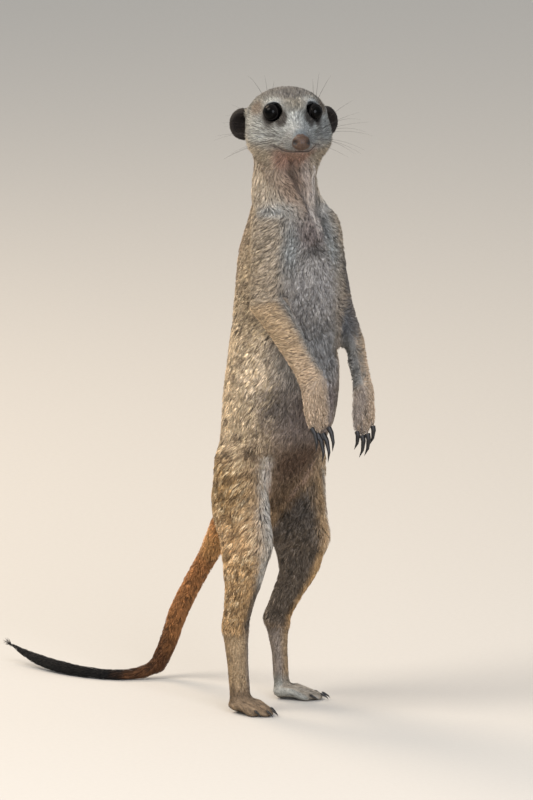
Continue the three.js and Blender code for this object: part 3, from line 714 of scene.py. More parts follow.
def patchColour(places, patches):
    total = np.zeros((len(places), 3))
    weights = np.zeros((len(places), 1))
    for colour, centre, reach in patches:
        near = (away(places, centre) / reach) ** 2
        weight = (1 / (0.05 + near ** 2))[:, None]
        total += weight * toLinear(palette[colour])
        weights += weight
    return total / weights


def paint(colours, layers):
    # lays each colour in turn over what is there, as far as its amount goes
    for hexColour, amount in layers:
        colours = colours + (toLinear(hexColour) - colours) * np.clip(amount, 0, 1)[:, None]
    return colours


def strokeLayers(points, strokes, onHead):
    return [(stroke["colour"], strokeStrength(points, stroke, onHead) * stroke["amount"])
            for stroke in strokes]


def crimpWave(points):
    turns = points[:, 2] / mm / markLook["crimpSpacing"] + 0.55 * waves(points, 8 * mm, 6)
    return np.sin(2 * math.pi * turns)


def coatColour(points, normals, at):
    # at holds the softened masks of the parts and the streaks, for the same points
    mark, place, head = markLook, points / mm, toHalfHead(points)
    height = place[:, 2]
    onHead = smoothStep(-34, -24, head[:, 2] + 0.35 * head[:, 0])
    nearHead = smoothStep(46, 38, np.linalg.norm(head, axis=1))
    colours = patchColour(place, bodyPatches)
    colours += (patchColour(head, headPatches) - colours) * onHead[:, None]
    blotch = waves(points, 9 * mm, 3) * 0.5 + waves(points, 4 * mm, 4) * 0.5

    # limbs: gold outside, grey and thinly haired inside, pale paws, with painted shade over the inner side of
    # the legs and over the far arm
    outward = normals[:, 0] * np.tanh(place[:, 0] / 4)
    inside = smoothStep(-0.1, 0.7, -outward)
    layers = []
    for name, colour, inner in (("upper_arm", "buff", "flint"), ("forearm", "gold", "flint"),
                                ("hand", "flax", "dove"), ("shank", "ecru", None), ("foot", "wheat", "dove")):
        layers.append((palette[colour], at[name] * 0.85))
        if inner:
            layers.append((palette[inner], at[name] * inside * 0.9))
    leg = np.minimum(at["thigh"] + at["shank"], 1)
    farArm = np.maximum(at["upper_arm_left"], at["forearm_left"]) * smoothStep(178, 190, height)
    toes = at["foot"] * smoothStep(15, 9, height)
    farSide = smoothStep(-3, 3, place[:, 0])
    layers += [
        # painted shade over the inner side of the legs, which the far leg turns towards the camera
        (palette["shade"], leg * smoothStep(-0.3, 0.4, -outward) * 0.9),
        # painted shade darkens the far arm, on the side of the body away from the key lamp
        (palette["farArmShade"], farArm * smoothStep(236, 216, height) * 0.8),
        (palette["flax"], at["forearm"] * smoothStep(190, 168, height) * (1 - inside) * 0.8),
        (palette["sand"], toes * 0.6),
        (palette["bleach"], toes * farSide * np.maximum(inside, 0.55) * 0.85),
        (palette["dun"], toes * (1 - farSide) * 0.85),
    ]

    # dark streaks and pale locks over back and flanks, gathered into broken bands on rump and thighs
    backness = normals[:, 1] * 0.9 + (0.6 + 0.7 * (at["thigh"] + at["shank"])) * outward
    overBack = smoothStep(-0.45, 0.15, backness + 0.12 * blotch) * smoothStep(38, 52, height)
    overBack = overBack * smoothStep(252, 215, height) * (1 - at["hand"]) * (1 - 0.7 * at["forearm"])
    overBack = overBack * (1 - at["tail"]) * (1 - 0.5 * at["upper_arm"])
    phase = height / mark["bandSpacing"] + place[:, 1] * 0.035 + 0.22 * blotch
    band = np.sin(2 * math.pi * phase) * smoothStep(165, 135, height)
    locks = overBack * smoothStep(0.0, 1.3, -at["streak"] - 0.3 * band)
    bands = overBack * smoothStep(0.25, 1.7, at["streak"] + 0.9 * band)
    layers += [(mark["pale"], locks * 0.7), (mark["band"], bands * mark["bandAmount"])]
    colours = paint(colours, layers)
    colours = colours * np.exp(0.13 * at["streak"] * (1 - overBack) * (1 - onHead))[:, None]

    # the crimp of the coat shows as fine dark ripples across its lie: painted shade in the dips of its waves
    layers = [(mark["crimp"], at["crimp"] * smoothStep(0.2, 0.95, crimpWave(points)) * 0.2)]
    layers += strokeLayers(points, bodyStrokes, False)

    # face: rings and patches round the eyes, and the temples
    offset = head - mark["ringAt"]
    offset[:, 1] *= np.where(offset[:, 1] > 0, mark["ringOut"], 1)
    offset[:, 2] *= np.where(offset[:, 2] > 0, mark["ringUp"], mark["ringDown"])
    ring = np.linalg.norm(offset, axis=1) / mark["ringReach"]
    inner = away(head, mark["patchAt"], mark["patchReach"])
    patch = smoothStep(1.32, 0.72, np.minimum(ring, inner) + 0.08 * blotch)
    temple = smoothStep(1.2, 0.4, away(head, mark["templeAt"], mark["templeReach"]))
    layers += [(mark["eyePatch"], patch * 0.93 * nearHead),
               (mark["eyeRing"], smoothStep(0.97, 0.7, ring) * nearHead),
               (mark["temple"], temple * 0.7 * nearHead)]
    layers += strokeLayers(points, headStrokes, True)

    # ears, nose and the dark end of the tail
    along = place[:, 1] - mark["tailTipStart"] + 1.2 * waves(points, 5 * mm, 8)
    onTail = smoothStep(0.3, 0.7, at["tail"])
    layers += [
        (mark["ear"], smoothStep(0.3, 0.7, at["ear"])), (mark["nose"], smoothStep(0.35, 0.65, at["nose"])),
        (mark["tailBend"], smoothStep(-20, -8, along) * onTail * 0.85),
        (mark["tailTip"], smoothStep(-5, 4, along) * onTail),
    ]
    return paint(colours, layers)


coatPieces = {
    # piece: nodes, slot, and on which side of the cut below it lies (0 for no cut)
    "coatFace": (("head", "nose"), "face_fur", -1),
    "coatCrown": (("head", "ear_right", "ear_left"), "face_fur", 1),
    "coatNeck": (("neck",), "throat_and_chest_fur", 0),
    "coatChest": (("chest",), "throat_and_chest_fur", -1),
    "coatWithers": (("chest",), "throat_and_chest_fur", 1),
    "coatBelly": (("abdomen",), "flank_and_belly_fur", -1),
    "coatBack": (("abdomen",), "flank_and_belly_fur", 1),
    "coatArmRight": (("upper_arm_right", "forearm_right", "hand_right"), "limb_fur", 0),
    "coatArmLeft": (("upper_arm_left", "forearm_left", "hand_left"), "limb_fur", 0),
    "coatLegRight": (("thigh_right", "shank_right", "foot_right"), "limb_fur", 0),
    "coatLegLeft": (("thigh_left", "shank_left", "foot_left"), "limb_fur", 0),
    "coatTail": (("tail_base", "tail_middle", "tail_tip"), "tail_fur", 0),
}

tuftLook = {
    "cut": {"head": -74 * mm, "chest": -72 * mm, "abdomen": -66 * mm},  # front from back
    "shortest": 3.5 * mm,  # tufts up to this length are straight, longer ones bend
    "turn": 0.17, "swirl": 0.16,  # radians that a tuft, and its neighbours together, stray from the lie
    "lockShare": 0.17, "lockPull": 0.6,  # one tuft in six leads a lock, and the others close in on it
    "lockReach": 0.0016, "lockGap": 0.0025,  # metres to the leader at its root, and at most at its tip
    "lockTone": 0.2, "tuftTone": 0.24, "lockStreak": 0.75,
    "middleLift": 0.74, "tipLift": 0.8,  # how far they stand off the skin, in shares of the coat's depth
    "rootSink": 0.25,  # millimetres
    # the ripples of the crimp are painted shade, in the colour and in the tone of the tufts
    "crimp": 0.45,  # how dark the ripples of the crimped coat are
    "patch": 0.003,  # size of a tuft on the UV map
    "floorGap": 0.1 * mm,
}

straightTuft = np.array([(0, 2, 3), (1, 3, 2), (0, 3, 1), (0, 1, 2)])
straightPlaces = np.array([(-0.5, -0.5), (0.5, -0.5), (0, -0.4), (0, 0.5)])
bentTuft = np.array([(0, 2, 1), (0, 3, 2), (0, 1, 3), (4, 1, 2), (4, 2, 3), (4, 3, 1)])
bentPlaces = np.array([(0, -0.5), (-0.5, 0.1), (0.5, 0.1), (0, 0.2), (0, 0.5)])


class Roots:
    # where tufts stand on the skin, and what is known there

    def __init__(self, skin, chosen, expected):
        edges = np.cumsum(expected)
        ticks = np.arange(int(edges[-1])) + random.random()
        self.face = chosen[np.minimum(np.searchsorted(edges, ticks), len(chosen) - 1)]
        u, v = random.random((2, len(ticks)))
        self.shares = np.stack([(1 - u) * (1 - v), u * (1 - v), u * v, (1 - u) * v], axis=1)
        self.corners = skin.faces[self.face]

    def read(self, values):
        # a value of the skin's points, blended over the face
        shares = self.shares if values.ndim == 1 else self.shares[:, :, None]
        return (values[self.corners] * shares).sum(axis=1)

    def readLoops(self, values):
        # a value of the skin's face corners, blended over the face
        return (values[self.face] * self.shares[:, :, None]).sum(axis=1)


def slide(skin, places, directions, steps):
    # moves each place along the skin, and returns where it lands with the normal and the lie there
    goals = places + directions * steps[:, None]
    spots, numbers = np.empty_like(goals), np.empty(len(goals), int)
    for i, goal in enumerate(goals.tolist()):
        spot, _, number, _ = skin.finder.find_nearest(goal)
        spots[i], numbers[i] = spot, number
    lost = np.linalg.norm(spots - goals, axis=1) > 0.6 * steps
    spots[lost] = goals[lost]
    return spots, skin.faceNormals[numbers], skin.faceFlow[numbers], lost


def turned(directions, normals, angles):
    return directions * np.cos(angles)[:, None] + np.cross(normals, directions) * np.sin(angles)[:, None]


def findLocks(roots, normals, flow, reach):
    # for each tuft the leader of its lock: near it across the lie of the coat, and further along it
    leaders = np.flatnonzero(random.random(len(roots)) < tuftLook["lockShare"])
    tree = KDTree(len(leaders))
    for number, leader in enumerate(leaders.tolist()):
        tree.insert(roots[leader], number)
    tree.balance()
    near = np.array([[found[1] for found in tree.find_n(point, 8)] for point in roots.tolist()])
    options = leaders[near]
    gaps = roots[options] - roots[:, None]
    along = (gaps * flow[:, None]).sum(axis=2)
    cost = (gaps ** 2).sum(axis=2) - 0.92 * along ** 2
    cost += ((normals[options] * normals[:, None]).sum(axis=2) < 0.5) * 1.0
    best = cost.argmin(axis=1)
    rows = np.arange(len(roots))
    far = cost[rows, best] > tuftLook["lockReach"] ** 2
    lone = far | (np.abs(along[rows, best]) > reach)
    return np.where(lone, rows, options[rows, best])


def growTufts(skin, chosen, share):
    expected = skin.faceCount[chosen] * share
    roots = Roots(skin, chosen, expected)
    points, normals = roots.read(skin.points), unit(roots.read(skin.pointNormals))
    flow = unit(roots.read(skin.flow))
    count = len(points)
    length = roots.read(skin.values["length"]) * mm * roots.read(skin.lengthShare)
    length *= random.uniform(0.75, 1.2, count)
    width = roots.read(skin.values["width"]) * mm * random.uniform(0.75, 1.25, count)
    depth = roots.read(skin.values["depth"]) * mm * roots.read(skin.depthShare)
    leader = findLocks(points, normals, flow, 0.5 * length)

    stray = tuftLook["turn"] * random.normal(size=count) + tuftLook["swirl"] * waves(points, 8 * mm, 21)
    heading = turned(flow, normals, stray)
    middle, middleNormals, middleFlow, lostHalf = slide(skin, points, heading, 0.5 * length)
    middleFlow[lostHalf], middleNormals[lostHalf] = heading[lostHalf], normals[lostHalf]
    onward = unit(0.5 * heading + 0.5 * turned(middleFlow, middleNormals, stray))
    tip, tipNormals, _, lostTip = slide(skin, middle, onward, 0.5 * length)
    tipNormals[lostTip] = middleNormals[lostTip]

    # the tufts of a lock close in on its leader towards their tips
    lift = np.exp(random.normal(0, 0.2, count))[leader] * random.uniform(0.88, 1.12, count)
    for spots, pull in ((middle, 0.35 * tuftLook["lockPull"]), (tip, tuftLook["lockPull"])):
        gap = spots[leader] - spots
        ahead = onward[leader]
        gap -= ahead * (gap * ahead).sum(axis=1, keepdims=True) * 0.7
        gap *= (np.linalg.norm(gap, axis=1, keepdims=True) < tuftLook["lockGap"])
        spots += gap * pull
    middle += middleNormals * (depth * tuftLook["middleLift"] * np.clip(lift, 0.6, 1.3))[:, None]
    tip += tipNormals * (depth * tuftLook["tipLift"] * np.clip(lift, 0.5, 1.45))[:, None]

    spread = roots.read(skin.toneShare)
    tone = np.exp(random.normal(0, tuftLook["lockTone"], count)[leader] * spread)
    tone = tone * np.exp(random.normal(0, tuftLook["tuftTone"], count) * spread)
    tone[random.random(count)[leader] < roots.read(skin.darkTufts)] *= 0.5
    masks = {name: roots.read(values) for name, values in skin.masks.items()}
    masks["streak"] = 0.3 * masks["streak"] + tuftLook["lockStreak"] * random.normal(size=count)[leader]
    colours = coatColour(points, normals, masks)
    return {"root": points - normals * tuftLook["rootSink"] * mm, "middle": middle, "tip": tip,
            "normal": normals, "middleNormal": middleNormals, "heading": heading, "onward": onward,
            "width": width, "length": length, "tone": tone, "colour": colours, "crimp": masks["crimp"],
            "bleach": roots.read(skin.bleach), "place": roots.readLoops(skin.loopPlaces)}


def triangle(at, along, normals, half, keel):
    side = unit(np.cross(along, normals)) * half[:, None]
    return [at - side, at + side, at + normals * keel[:, None]]


def shapeTufts(tufts, straight):
    # the corners of each tuft, its faces, their places on the UV map and how far along it each corner is
    root, tip, half = tufts["root"], tufts["tip"], tufts["width"] * 0.5
    if straight:
        corners = [*triangle(root, tufts["heading"], tufts["normal"], half, half * 0.9), tip]
        return np.stack(corners, axis=1), straightTuft, straightPlaces, np.array([0, 0, 0, 1.0])
    middle = triangle(tufts["middle"], tufts["onward"], tufts["middleNormal"], half, half * 0.7)
    return np.stack([root, *middle, tip], axis=1), bentTuft, bentPlaces, np.array([0, 0.5, 0.5, 0.5, 1.0])


def addCoatPiece(name, skin, chosen, share, material):
    tufts = growTufts(skin, chosen, share)
    short = tufts["length"] < tuftLook["shortest"]
    points, faces, places, colours, along, tones, total = [], [], [], [], [], [], 0
    for straight, select in ((True, short), (False, ~short)):
        if not select.any():
            continue
        some = {key: values[select] for key, values in tufts.items()}
        corners, pattern, spread, steps = shapeTufts(some, straight)
        count, size = corners.shape[:2]
        points.append(corners.reshape(-1, 3))
        faces.append((pattern[None] + (np.arange(count) * size)[:, None, None] + total).reshape(-1, 3))
        places.append((some["place"][:, None] + spread[None] * tuftLook["patch"]).reshape(-1, 2))
        colours.append(np.repeat(some["colour"], size, axis=0))
        # painted shade of the crimp's waves: the tufts darken in ripples
        ripple = smoothStep(0.0, 0.95, crimpWave(corners.reshape(-1, 3))) * np.repeat(some["crimp"], size)
        tones.append(np.repeat(some["tone"], size) * (1 - tuftLook["crimp"] * ripple))
        along.append((some["bleach"][:, None] * steps).ravel())
        total += count * size
    points, faces, places = map(np.concatenate, (points, faces, places))
    points[:, 2] = np.maximum(points[:, 2], tuftLook["floorGap"])
    piece = meshPiece(name, points, faces, [material], places=np.clip(places, 0, 1))
    setAttribute(piece.data, "coatColour", np.concatenate(colours))
    setAttribute(piece.data, "tuftTone", np.concatenate(tones))
    setAttribute(piece.data, "alongTuft", np.concatenate(along))
    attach(piece, "root")
    print(f"{name}: {len(tufts['tone'])} tufts, {len(faces)} triangles")
    return len(faces)


def shadeCoat(tree, shader, amount):
    # the painted colour of the coat, made lighter or darker by a pattern
    colour = addNode(tree, "ShaderNodeAttribute", {"attribute_name": "coatColour"})
    lit = addNode(tree, "ShaderNodeVectorMath", {"operation": "SCALE"},
                  {"Vector": colour.outputs["Color"], "Scale": amount})
    tree.links.new(lit.outputs["Vector"], shader.inputs["Base Color"])


def makeCoatMaterial():
    # guard hair: keratin, oval in section, so it shines a little along its length and scatters softly
    material, tree, shader = newMaterial(
        "guardHair", {"Roughness": 0.6, "IOR": 1.45, "Specular IOR Level": 0.3})
    along = addNode(tree, "ShaderNodeAttribute", {"attribute_name": "alongTuft"})
    tone = addNode(tree, "ShaderNodeAttribute", {"attribute_name": "tuftTone"})
    # roots sit in shadow and tips are bleached, and every tuft has its own tone
    shade = addNode(tree, "ShaderNodeMapRange", {"To Min": 0.65, "To Max": 1.72},
                    {"Value": along.outputs["Fac"]})
    both = addNode(tree, "ShaderNodeMath", {"operation": "MULTIPLY"},
                   {0: shade.outputs["Result"], 1: tone.outputs["Fac"]})
    shadeCoat(tree, shader, both.outputs["Value"])
    return material


def makeHideMaterial():
    # thin hide under the fur: matt, with the short under-coat as a fine streaky bump
    material, tree, shader = newMaterial("furredHide", {"Roughness": 0.8, "Specular IOR Level": 0.25})
    place = addNode(tree, "ShaderNodeTexCoord")
    fuzz = addNode(tree, "ShaderNodeTexNoise", {"Scale": 1400.0, "Detail": 3.0},
                   {"Vector": place.outputs["Object"]})
    shade = addNode(tree, "ShaderNodeMapRange",
                    {"From Min": 0.3, "From Max": 0.7, "To Min": 0.45, "To Max": 0.75},
                    {"Value": fuzz.outputs["Fac"]})
    shadeCoat(tree, shader, shade.outputs["Result"])
    bump = addNode(tree, "ShaderNodeBump", {"Strength": 0.5, "Distance": 0.0003},
                   {"Height": fuzz.outputs["Fac"]})
    tree.links.new(bump.outputs["Normal"], shader.inputs["Normal"])
    return material


def unwrap(piece):
    for item in bpy.context.selected_objects:
        item.select_set(False)
    bpy.context.view_layer.objects.active = piece
    piece.select_set(True)
    piece.data.uv_layers.new(name="OFBake")
    bpy.ops.object.mode_set(mode="EDIT")
    bpy.ops.mesh.select_all(action="SELECT")
    bpy.ops.uv.smart_project(angle_limit=1.15, island_margin=0.001)
    bpy.ops.object.mode_set(mode="OBJECT")
    return readAll(piece.data.uv_layers["OFBake"].data, "uv", 2).reshape(-1, 4, 2).astype(float)


# rounds of smoothing that let the markings of each part fade into its neighbours
maskRounds = {
    "upper_arm": 30, "upper_arm_left": 12, "forearm": 8, "forearm_left": 12, "hand": 6, "thigh": 20,
    "shank": 12, "foot": 10, "ear": 2, "nose": 2,
}


def addSkinPiece(skin):
    skin.masks = {name: partMask(skin, (name,), rounds) for name, rounds in maskRounds.items()}
    skin.masks["tail"] = partMask(skin, ("tail_base", "tail_middle", "tail_tip"), 2)
    skin.masks["crimp"] = partMask(skin, ("chest", "upper_arm", "foot"), 10)
    skin.masks["streak"] = findStreaks(skin)
    colours = coatColour(skin.points, skin.pointNormals, skin.masks)
    piece = meshPiece("skin", skin.points, skin.faces, [makeHideMaterial()])
    setAttribute(piece.data, "coatColour", colours)
    skin.loopPlaces = unwrap(piece)
    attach(piece, "root")
    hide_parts(*fleshNodes)


# places where the hair is shorter or longer, on the head in its own axes: place, and reach if it is longer
hairLook = {
    "noseTip": (22.5, 0, -10.5), "armGap": (15.5, -90, 180),  # the gap is between belly and forearm
    "beforeEar": ((-17.5, 17.5, -6), (5, 5, 8)), "cheek": ((-8, 17, -14), (10, 7, 8)),
    "earLonger": 1.2, "cheekDeeper": 0.9, "backDeeper": 0.3, "gapShorter": 0.65, "foldShorter": 0.5,
}


def prepareCoat(skin):
    # what the tufts read from the skin, for each point or face
    skin.finder = BVHTree.FromPolygons(skin.points.tolist(), skin.faces.tolist())
    skin.faceNormals = unit(skin.pointNormals[skin.faces].mean(axis=1))
    skin.faceFlow = unit(skin.flow[skin.faces].mean(axis=1))
    head, place = toHalfHead(skin.points), skin.points / mm
    nose = away(head, hairLook["noseTip"])
    eyes = np.min([roundEye(side, skin.points)[1] for side in eyeSeats], axis=0) / mm
    skin.lengthShare = (0.4 + 0.6 * smoothStep(4, 24, nose)) * (0.5 + 0.5 * smoothStep(6, 10, eyes))
    skin.depthShare = (0.45 + 0.55 * smoothStep(4, 20, nose)) * (0.5 + 0.5 * smoothStep(6, 9, eyes))
    # bare: the nose, under the lids, the soles and the line of the mouth
    bare = smoothStep(0.4, 0.6, skin.masks["nose"])
    for side in eyeSeats:
        _, distance, ahead = roundEye(side, skin.points)
        angle = np.arccos(np.clip(ahead, -1, 1))
        bare = np.maximum(bare, smoothStep(1.15, 1.06, angle) * smoothStep(1.4, 1.2, distance / eyeRadius))
    bare = np.maximum(bare, smoothStep(1.2, 0.6, place[:, 2]))
    bare = np.maximum(bare, smoothStep(0.35, 0.75, strokeStrength(skin.points, headStrokes[0], True)))
    spans = skin.points[skin.faces]
    area = np.cross(spans[:, 2] - spans[:, 0], spans[:, 3] - spans[:, 1])
    area = 0.5 * np.linalg.norm(area, axis=1) / mm ** 2
    skin.faceCount = area * (skin.values["count"] * (1 - bare))[skin.faces].mean(axis=1)
    onHead = partMask(skin, ("head",), 6)
    crown = onHead * smoothStep(-5, 3, head[:, 2] + 0.15 * head[:, 0])
    backness = smoothStep(-0.2, 0.5, skin.pointNormals[:, 1])
    thin = np.maximum(skin.masks["foot"], smoothStep(-0.4, -0.8, skin.pointNormals[:, 1]) * (1 - onHead))
    calm = partMask(skin, ("neck", "chest", "upper_arm", "forearm", "hand", "foot"), 14)
    skin.toneShare = (1 - 0.4 * thin) * (1 - 0.35 * calm)
    muzzle = onHead * smoothStep(17, 11, nose)
    skin.darkTufts = 0.08 + 0.27 * crown + 0.04 * backness + 0.17 * muzzle + 0.06 * onHead
    skin.bleach = 0.62 + 0.38 * backness * (1 - onHead)
    # the hair before each ear is long and lies over it
    beforeEar = smoothStep(1.2, 0.5, away(head, *hairLook["beforeEar"]))
    skin.lengthShare += hairLook["earLonger"] * beforeEar * onHead
    # it is short in the folds, so that they stay open
    for stroke in bodyStrokes:
        if stroke["rise"] < -1.1:
            wide = dict(stroke, width=stroke["width"] * 1.7)
            skin.lengthShare *= 1 - hairLook["foldShorter"] * strokeStrength(skin.points, wide, False)
    # and in the gap between belly and forearm, thicker along the back and on the cheeks
    gap = smoothStep(9, 5, away(place, hairLook["armGap"]))
    skin.lengthShare *= 1 - hairLook["gapShorter"] * gap
    skin.depthShare *= 1 - 0.5 * gap
    trunk = smoothStep(60, 90, place[:, 2])
    skin.depthShare *= 1 + hairLook["backDeeper"] * backness * trunk * smoothStep(250, 220, place[:, 2])
    cheek = smoothStep(1.2, 0.5, away(head, *hairLook["cheek"]))
    skin.depthShare += hairLook["cheekDeeper"] * cheek * onHead


def addCoat(skin):
    material = makeCoatMaterial()
    owner = skin.owner[skin.faces[:, 0]]
    share = 1.0
    total = 0
    for name, (nodes, slot, cut) in coatPieces.items():
        mine = np.isin(owner, [fleshNodes.index(node) for node in nodes])
        if cut:
            behind = skin.points[skin.faces[:, 0], 1] > tuftLook["cut"][nodes[0]]
            mine &= behind == (cut > 0)
        total += addCoatPiece(name, skin, np.flatnonzero(mine), share, material)
    print(f"coat: {total} triangles")


eyeLook = {
    "socket": 1.02,  # radians from where the eye looks to where the skin starts
    "opening": 0.96,  # radians to the rim of the lids
    "bulge": 0.035,  # how far the cornea stands out, in radii
    "corner": 0.08, "cornerWidth": 0.3,  # how the lids are drawn out at the inner corner
    # section of the lids from the rim outwards: radians from the opening, and radii
    "lids": [(-0.04, 0.98), (-0.02, 1.01), (0.02, 1.04), (0.07, 1.055), (0.13, 1.05), (0.19, 1.01),
             (0.21, 0.95), (0.14, 0.90), (0.04, 0.92)],
    "pupil": "020202", "iris": "060504", "ring": "131110", "rim": "060505",
}


def lookPoint(side, theta, phi, radius):
    # points round an eye: theta from the middle of the pupil, phi from the temple side upwards
    theta, phi, radius = (np.asarray(values)[..., None] for values in (theta, phi, radius))
    look, outward, up = eyeAxes(side)
    around = np.cos(phi) * outward + np.sin(phi) * up
    return eyeSeats[side] + (np.cos(theta) * look + np.sin(theta) * around) * radius


def gridFaces(rows, columns, closedRows=False):
    # quads of a grid that closes on itself along its columns, and if asked along its rows too
    row, column = np.meshgrid(np.arange(rows if closedRows else rows - 1), np.arange(columns), indexing="ij")
    nextRow, nextColumn = (row + 1) % rows, (column + 1) % columns
    quads = [row * columns + column, row * columns + nextColumn, nextRow * columns + nextColumn,
             nextRow * columns + column]
    return np.stack(quads, axis=-1).reshape(-1, 4)


def makeEyeMaterial():
    # wet cornea over a dark eye: black pupil, iris nearly as dark, a paler ring, and a soft wet gloss
    material, tree, shader = newMaterial("wetCornea", {
        "Roughness": 0.25, "Coat Weight": 0.3, "Coat Roughness": 0.12, "Coat IOR": 1.33,
        "Specular IOR Level": 0.0})
    angle = addNode(tree, "ShaderNodeAttribute", {"attribute_name": "eyeAngle"})
    place = addNode(tree, "ShaderNodeTexCoord")
    fibre = addNode(tree, "ShaderNodeTexNoise", {"Scale": 1500.0, "Detail": 2.0},
                    {"Vector": place.outputs["Object"]})
    wobble = addNode(tree, "ShaderNodeMath", {"operation": "MULTIPLY_ADD", 1: 0.08},
                     {0: fibre.outputs["Fac"], 2: angle.outputs["Fac"]})
    ramp = addNode(tree, "ShaderNodeValToRGB", links={"Fac": wobble.outputs["Value"]})
    stops = [(0.0, "pupil"), (0.44, "pupil"), (0.50, "iris"), (0.74, "iris"), (0.82, "ring"), (0.88, "rim")]
    for number, (at, name) in enumerate(stops):
        stop = ramp.color_ramp.elements[number] if number < 2 else ramp.color_ramp.elements.new(at)
        stop.position, stop.color = at, rgba(eyeLook[name])
    tree.links.new(ramp.outputs["Color"], shader.inputs["Base Color"])
    return material


def makeLidMaterial():
    # bare lid rim: dark moist skin, softly shiny
    material, tree, shader = newMaterial("lidSkin", {"Roughness": 0.75, "Specular IOR Level": 0.12})
    mottle(tree, shader, 2200.0, 2.0, "070605", "14100e", bump=(0.4, 0.0001))
    return material


def addEyes():
    print(f"eye radius {eyeRadius / mm:.2f} mm")
    cornea, lidSkin = makeEyeMaterial(), makeLidMaterial()
    rows, columns = 40, 48
    phi = np.arange(columns) * 2 * math.pi / columns
    theta = np.linspace(0.02, math.pi - 0.02, rows)
    radius = eyeRadius * (1 + eyeLook["bulge"] * smoothStep(0.95, 0.5, theta))
    # lids: a closed ring whose inner edge is the rim, drawn out a little at the inner corner
    opening = eyeLook["opening"] + 0.03 * np.sin(phi) ** 2
    fromCorner = np.angle(np.exp(1j * (phi - math.pi - 0.45)))
    opening += eyeLook["corner"] * bell(fromCorner, eyeLook["cornerWidth"])
    section = np.array(eyeLook["lids"])
    for side in ("right", "left"):
        ball = lookPoint(side, theta[:, None], phi, radius[:, None])
        eyeball = meshPiece(f"eyeball_{side}", ball.reshape(-1, 3), gridFaces(rows, columns), [cornea])
        setAttribute(eyeball.data, "eyeAngle", np.repeat(theta, columns))
        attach(eyeball, "root")
        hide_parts(f"eye_{side}")
        rim = lookPoint(side, opening + section[:, :1], phi, section[:, 1:] * eyeRadius)
        quads = gridFaces(len(section), columns, True)
        lids = meshPiece(f"lids_{side}", rim.reshape(-1, 3), quads, [lidSkin])
        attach(lids, "root")


noseLook = {
    "voxel": 0.2 * mm, "swell": 0.15 * mm, "drop": 1.0 * mm, "widen": 1.08,
    # each nostril is a comma: a round pit in front that trails off to the side
    "nostril": [(24.0, 3.3, -10.0), (23.4, 3.9, -10.2)], "nostrilWidth": 1.4, "nostrilDepth": 1.7,
    "cleft": [(26, 0, -10.5), (25, 0, -13), (22, 0, -15)], "cleftWidth": 0.35, "cleftDepth": 0.35,
}


def makeNoseMaterial():
    # nose leather: pebbled and dry, reddish brown with pale grains of sand in its pits, and nostrils darkened
    # with painted shade
    material, tree, shader = newMaterial("noseLeather", {"Roughness": 0.55})
    tint = mottle(tree, shader, 420.0, 3.0, "1c100b", "3e281b")
    place = addNode(tree, "ShaderNodeTexCoord").outputs["Object"]
    pebbles = addNode(tree, "ShaderNodeTexVoronoi", {"Scale": 1900.0}, {"Vector": place})
    grains = addNode(tree, "ShaderNodeTexNoise", {"Scale": 4200.0, "Detail": 1.0}, {"Vector": place})
    sandy = addNode(tree, "ShaderNodeMapRange", {"From Min": 0.54, "From Max": 0.8},
                    {"Value": grains.outputs["Fac"]})
    dusted = addNode(tree, "ShaderNodeMix", {"data_type": "RGBA", 7: rgba("7d5c38")},
                     {0: sandy.outputs["Result"], 6: tint})
    depth = addNode(tree, "ShaderNodeAttribute", {"attribute_name": "nostril"})
    dark = addNode(tree, "ShaderNodeMix", {"data_type": "RGBA", 7: rgba("0c0605")},
                   {0: depth.outputs["Fac"], 6: dusted.outputs[2]})
    tree.links.new(dark.outputs[2], shader.inputs["Base Color"])
    bump = addNode(tree, "ShaderNodeBump", {"Strength": 0.6, "Distance": 0.0002},
                   {"Height": pebbles.outputs["Distance"]})
    tree.links.new(bump.outputs["Normal"], shader.inputs["Normal"])
    return material


def addNose():
    look = noseLook
    points, faces, _ = joinSolids(["nose"], [look["swell"]])
    nose = Surface(*remeshed(points, faces, look["voxel"])).relax(14, 1.0)
    nose.points = fromHead(toHead(nose.points) * (1, look["widen"], 1))
    place = toHalfHead(nose.points)
    pit = bell(distanceToPath(place, look["nostril"]), look["nostrilWidth"])
    cleft = bell(distanceToPath(place, look["cleft"]), look["cleftWidth"])
    sink = pit * look["nostrilDepth"] + cleft * look["cleftDepth"]
    nose.points = nose.points - nose.normals() * (sink * mm)[:, None] - headUp * look["drop"]
    piece = meshPiece("nosePad", nose.points, nose.faces, [makeNoseMaterial()])
    # how far each point lies in a nostril pit, for the painted shade there
    setAttribute(piece.data, "nostril", smoothStep(0.15, 0.55, pit))
    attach(piece, "root")


lipLook = {
    # from the middle of the mouth back to its corner, in the head's own axes
    "path": [(18.9, 0, -16.5), (17.8, -2.6, -16.8), (15.4, -4.9, -17.0), (12.6, -6.4, -17.0),
             (10.3, -7.6, -16.6), (8.2, -9.2, -15.6), (6.2, -10.7, -14.2)],
    "radius": (0.22, 0.22, 0.21, 0.19, 0.16, 0.10, 0.03), "sink": 0.1 * mm,
    "flat": 0.8, "stand": 1.1,  # shares of the radius over the skin and away from it
}


def tube(line, radius, across, over, sides):
    # rings of points round a line, and the quads between them
    turns = (np.arange(sides) * 2 * math.pi / sides)[:, None]
    around = np.cos(turns) * across[:, None] + np.sin(turns) * over[:, None]
    return (line[:, None] + radius[:, None, None] * around).reshape(-1, 3), gridFaces(len(line), sides)


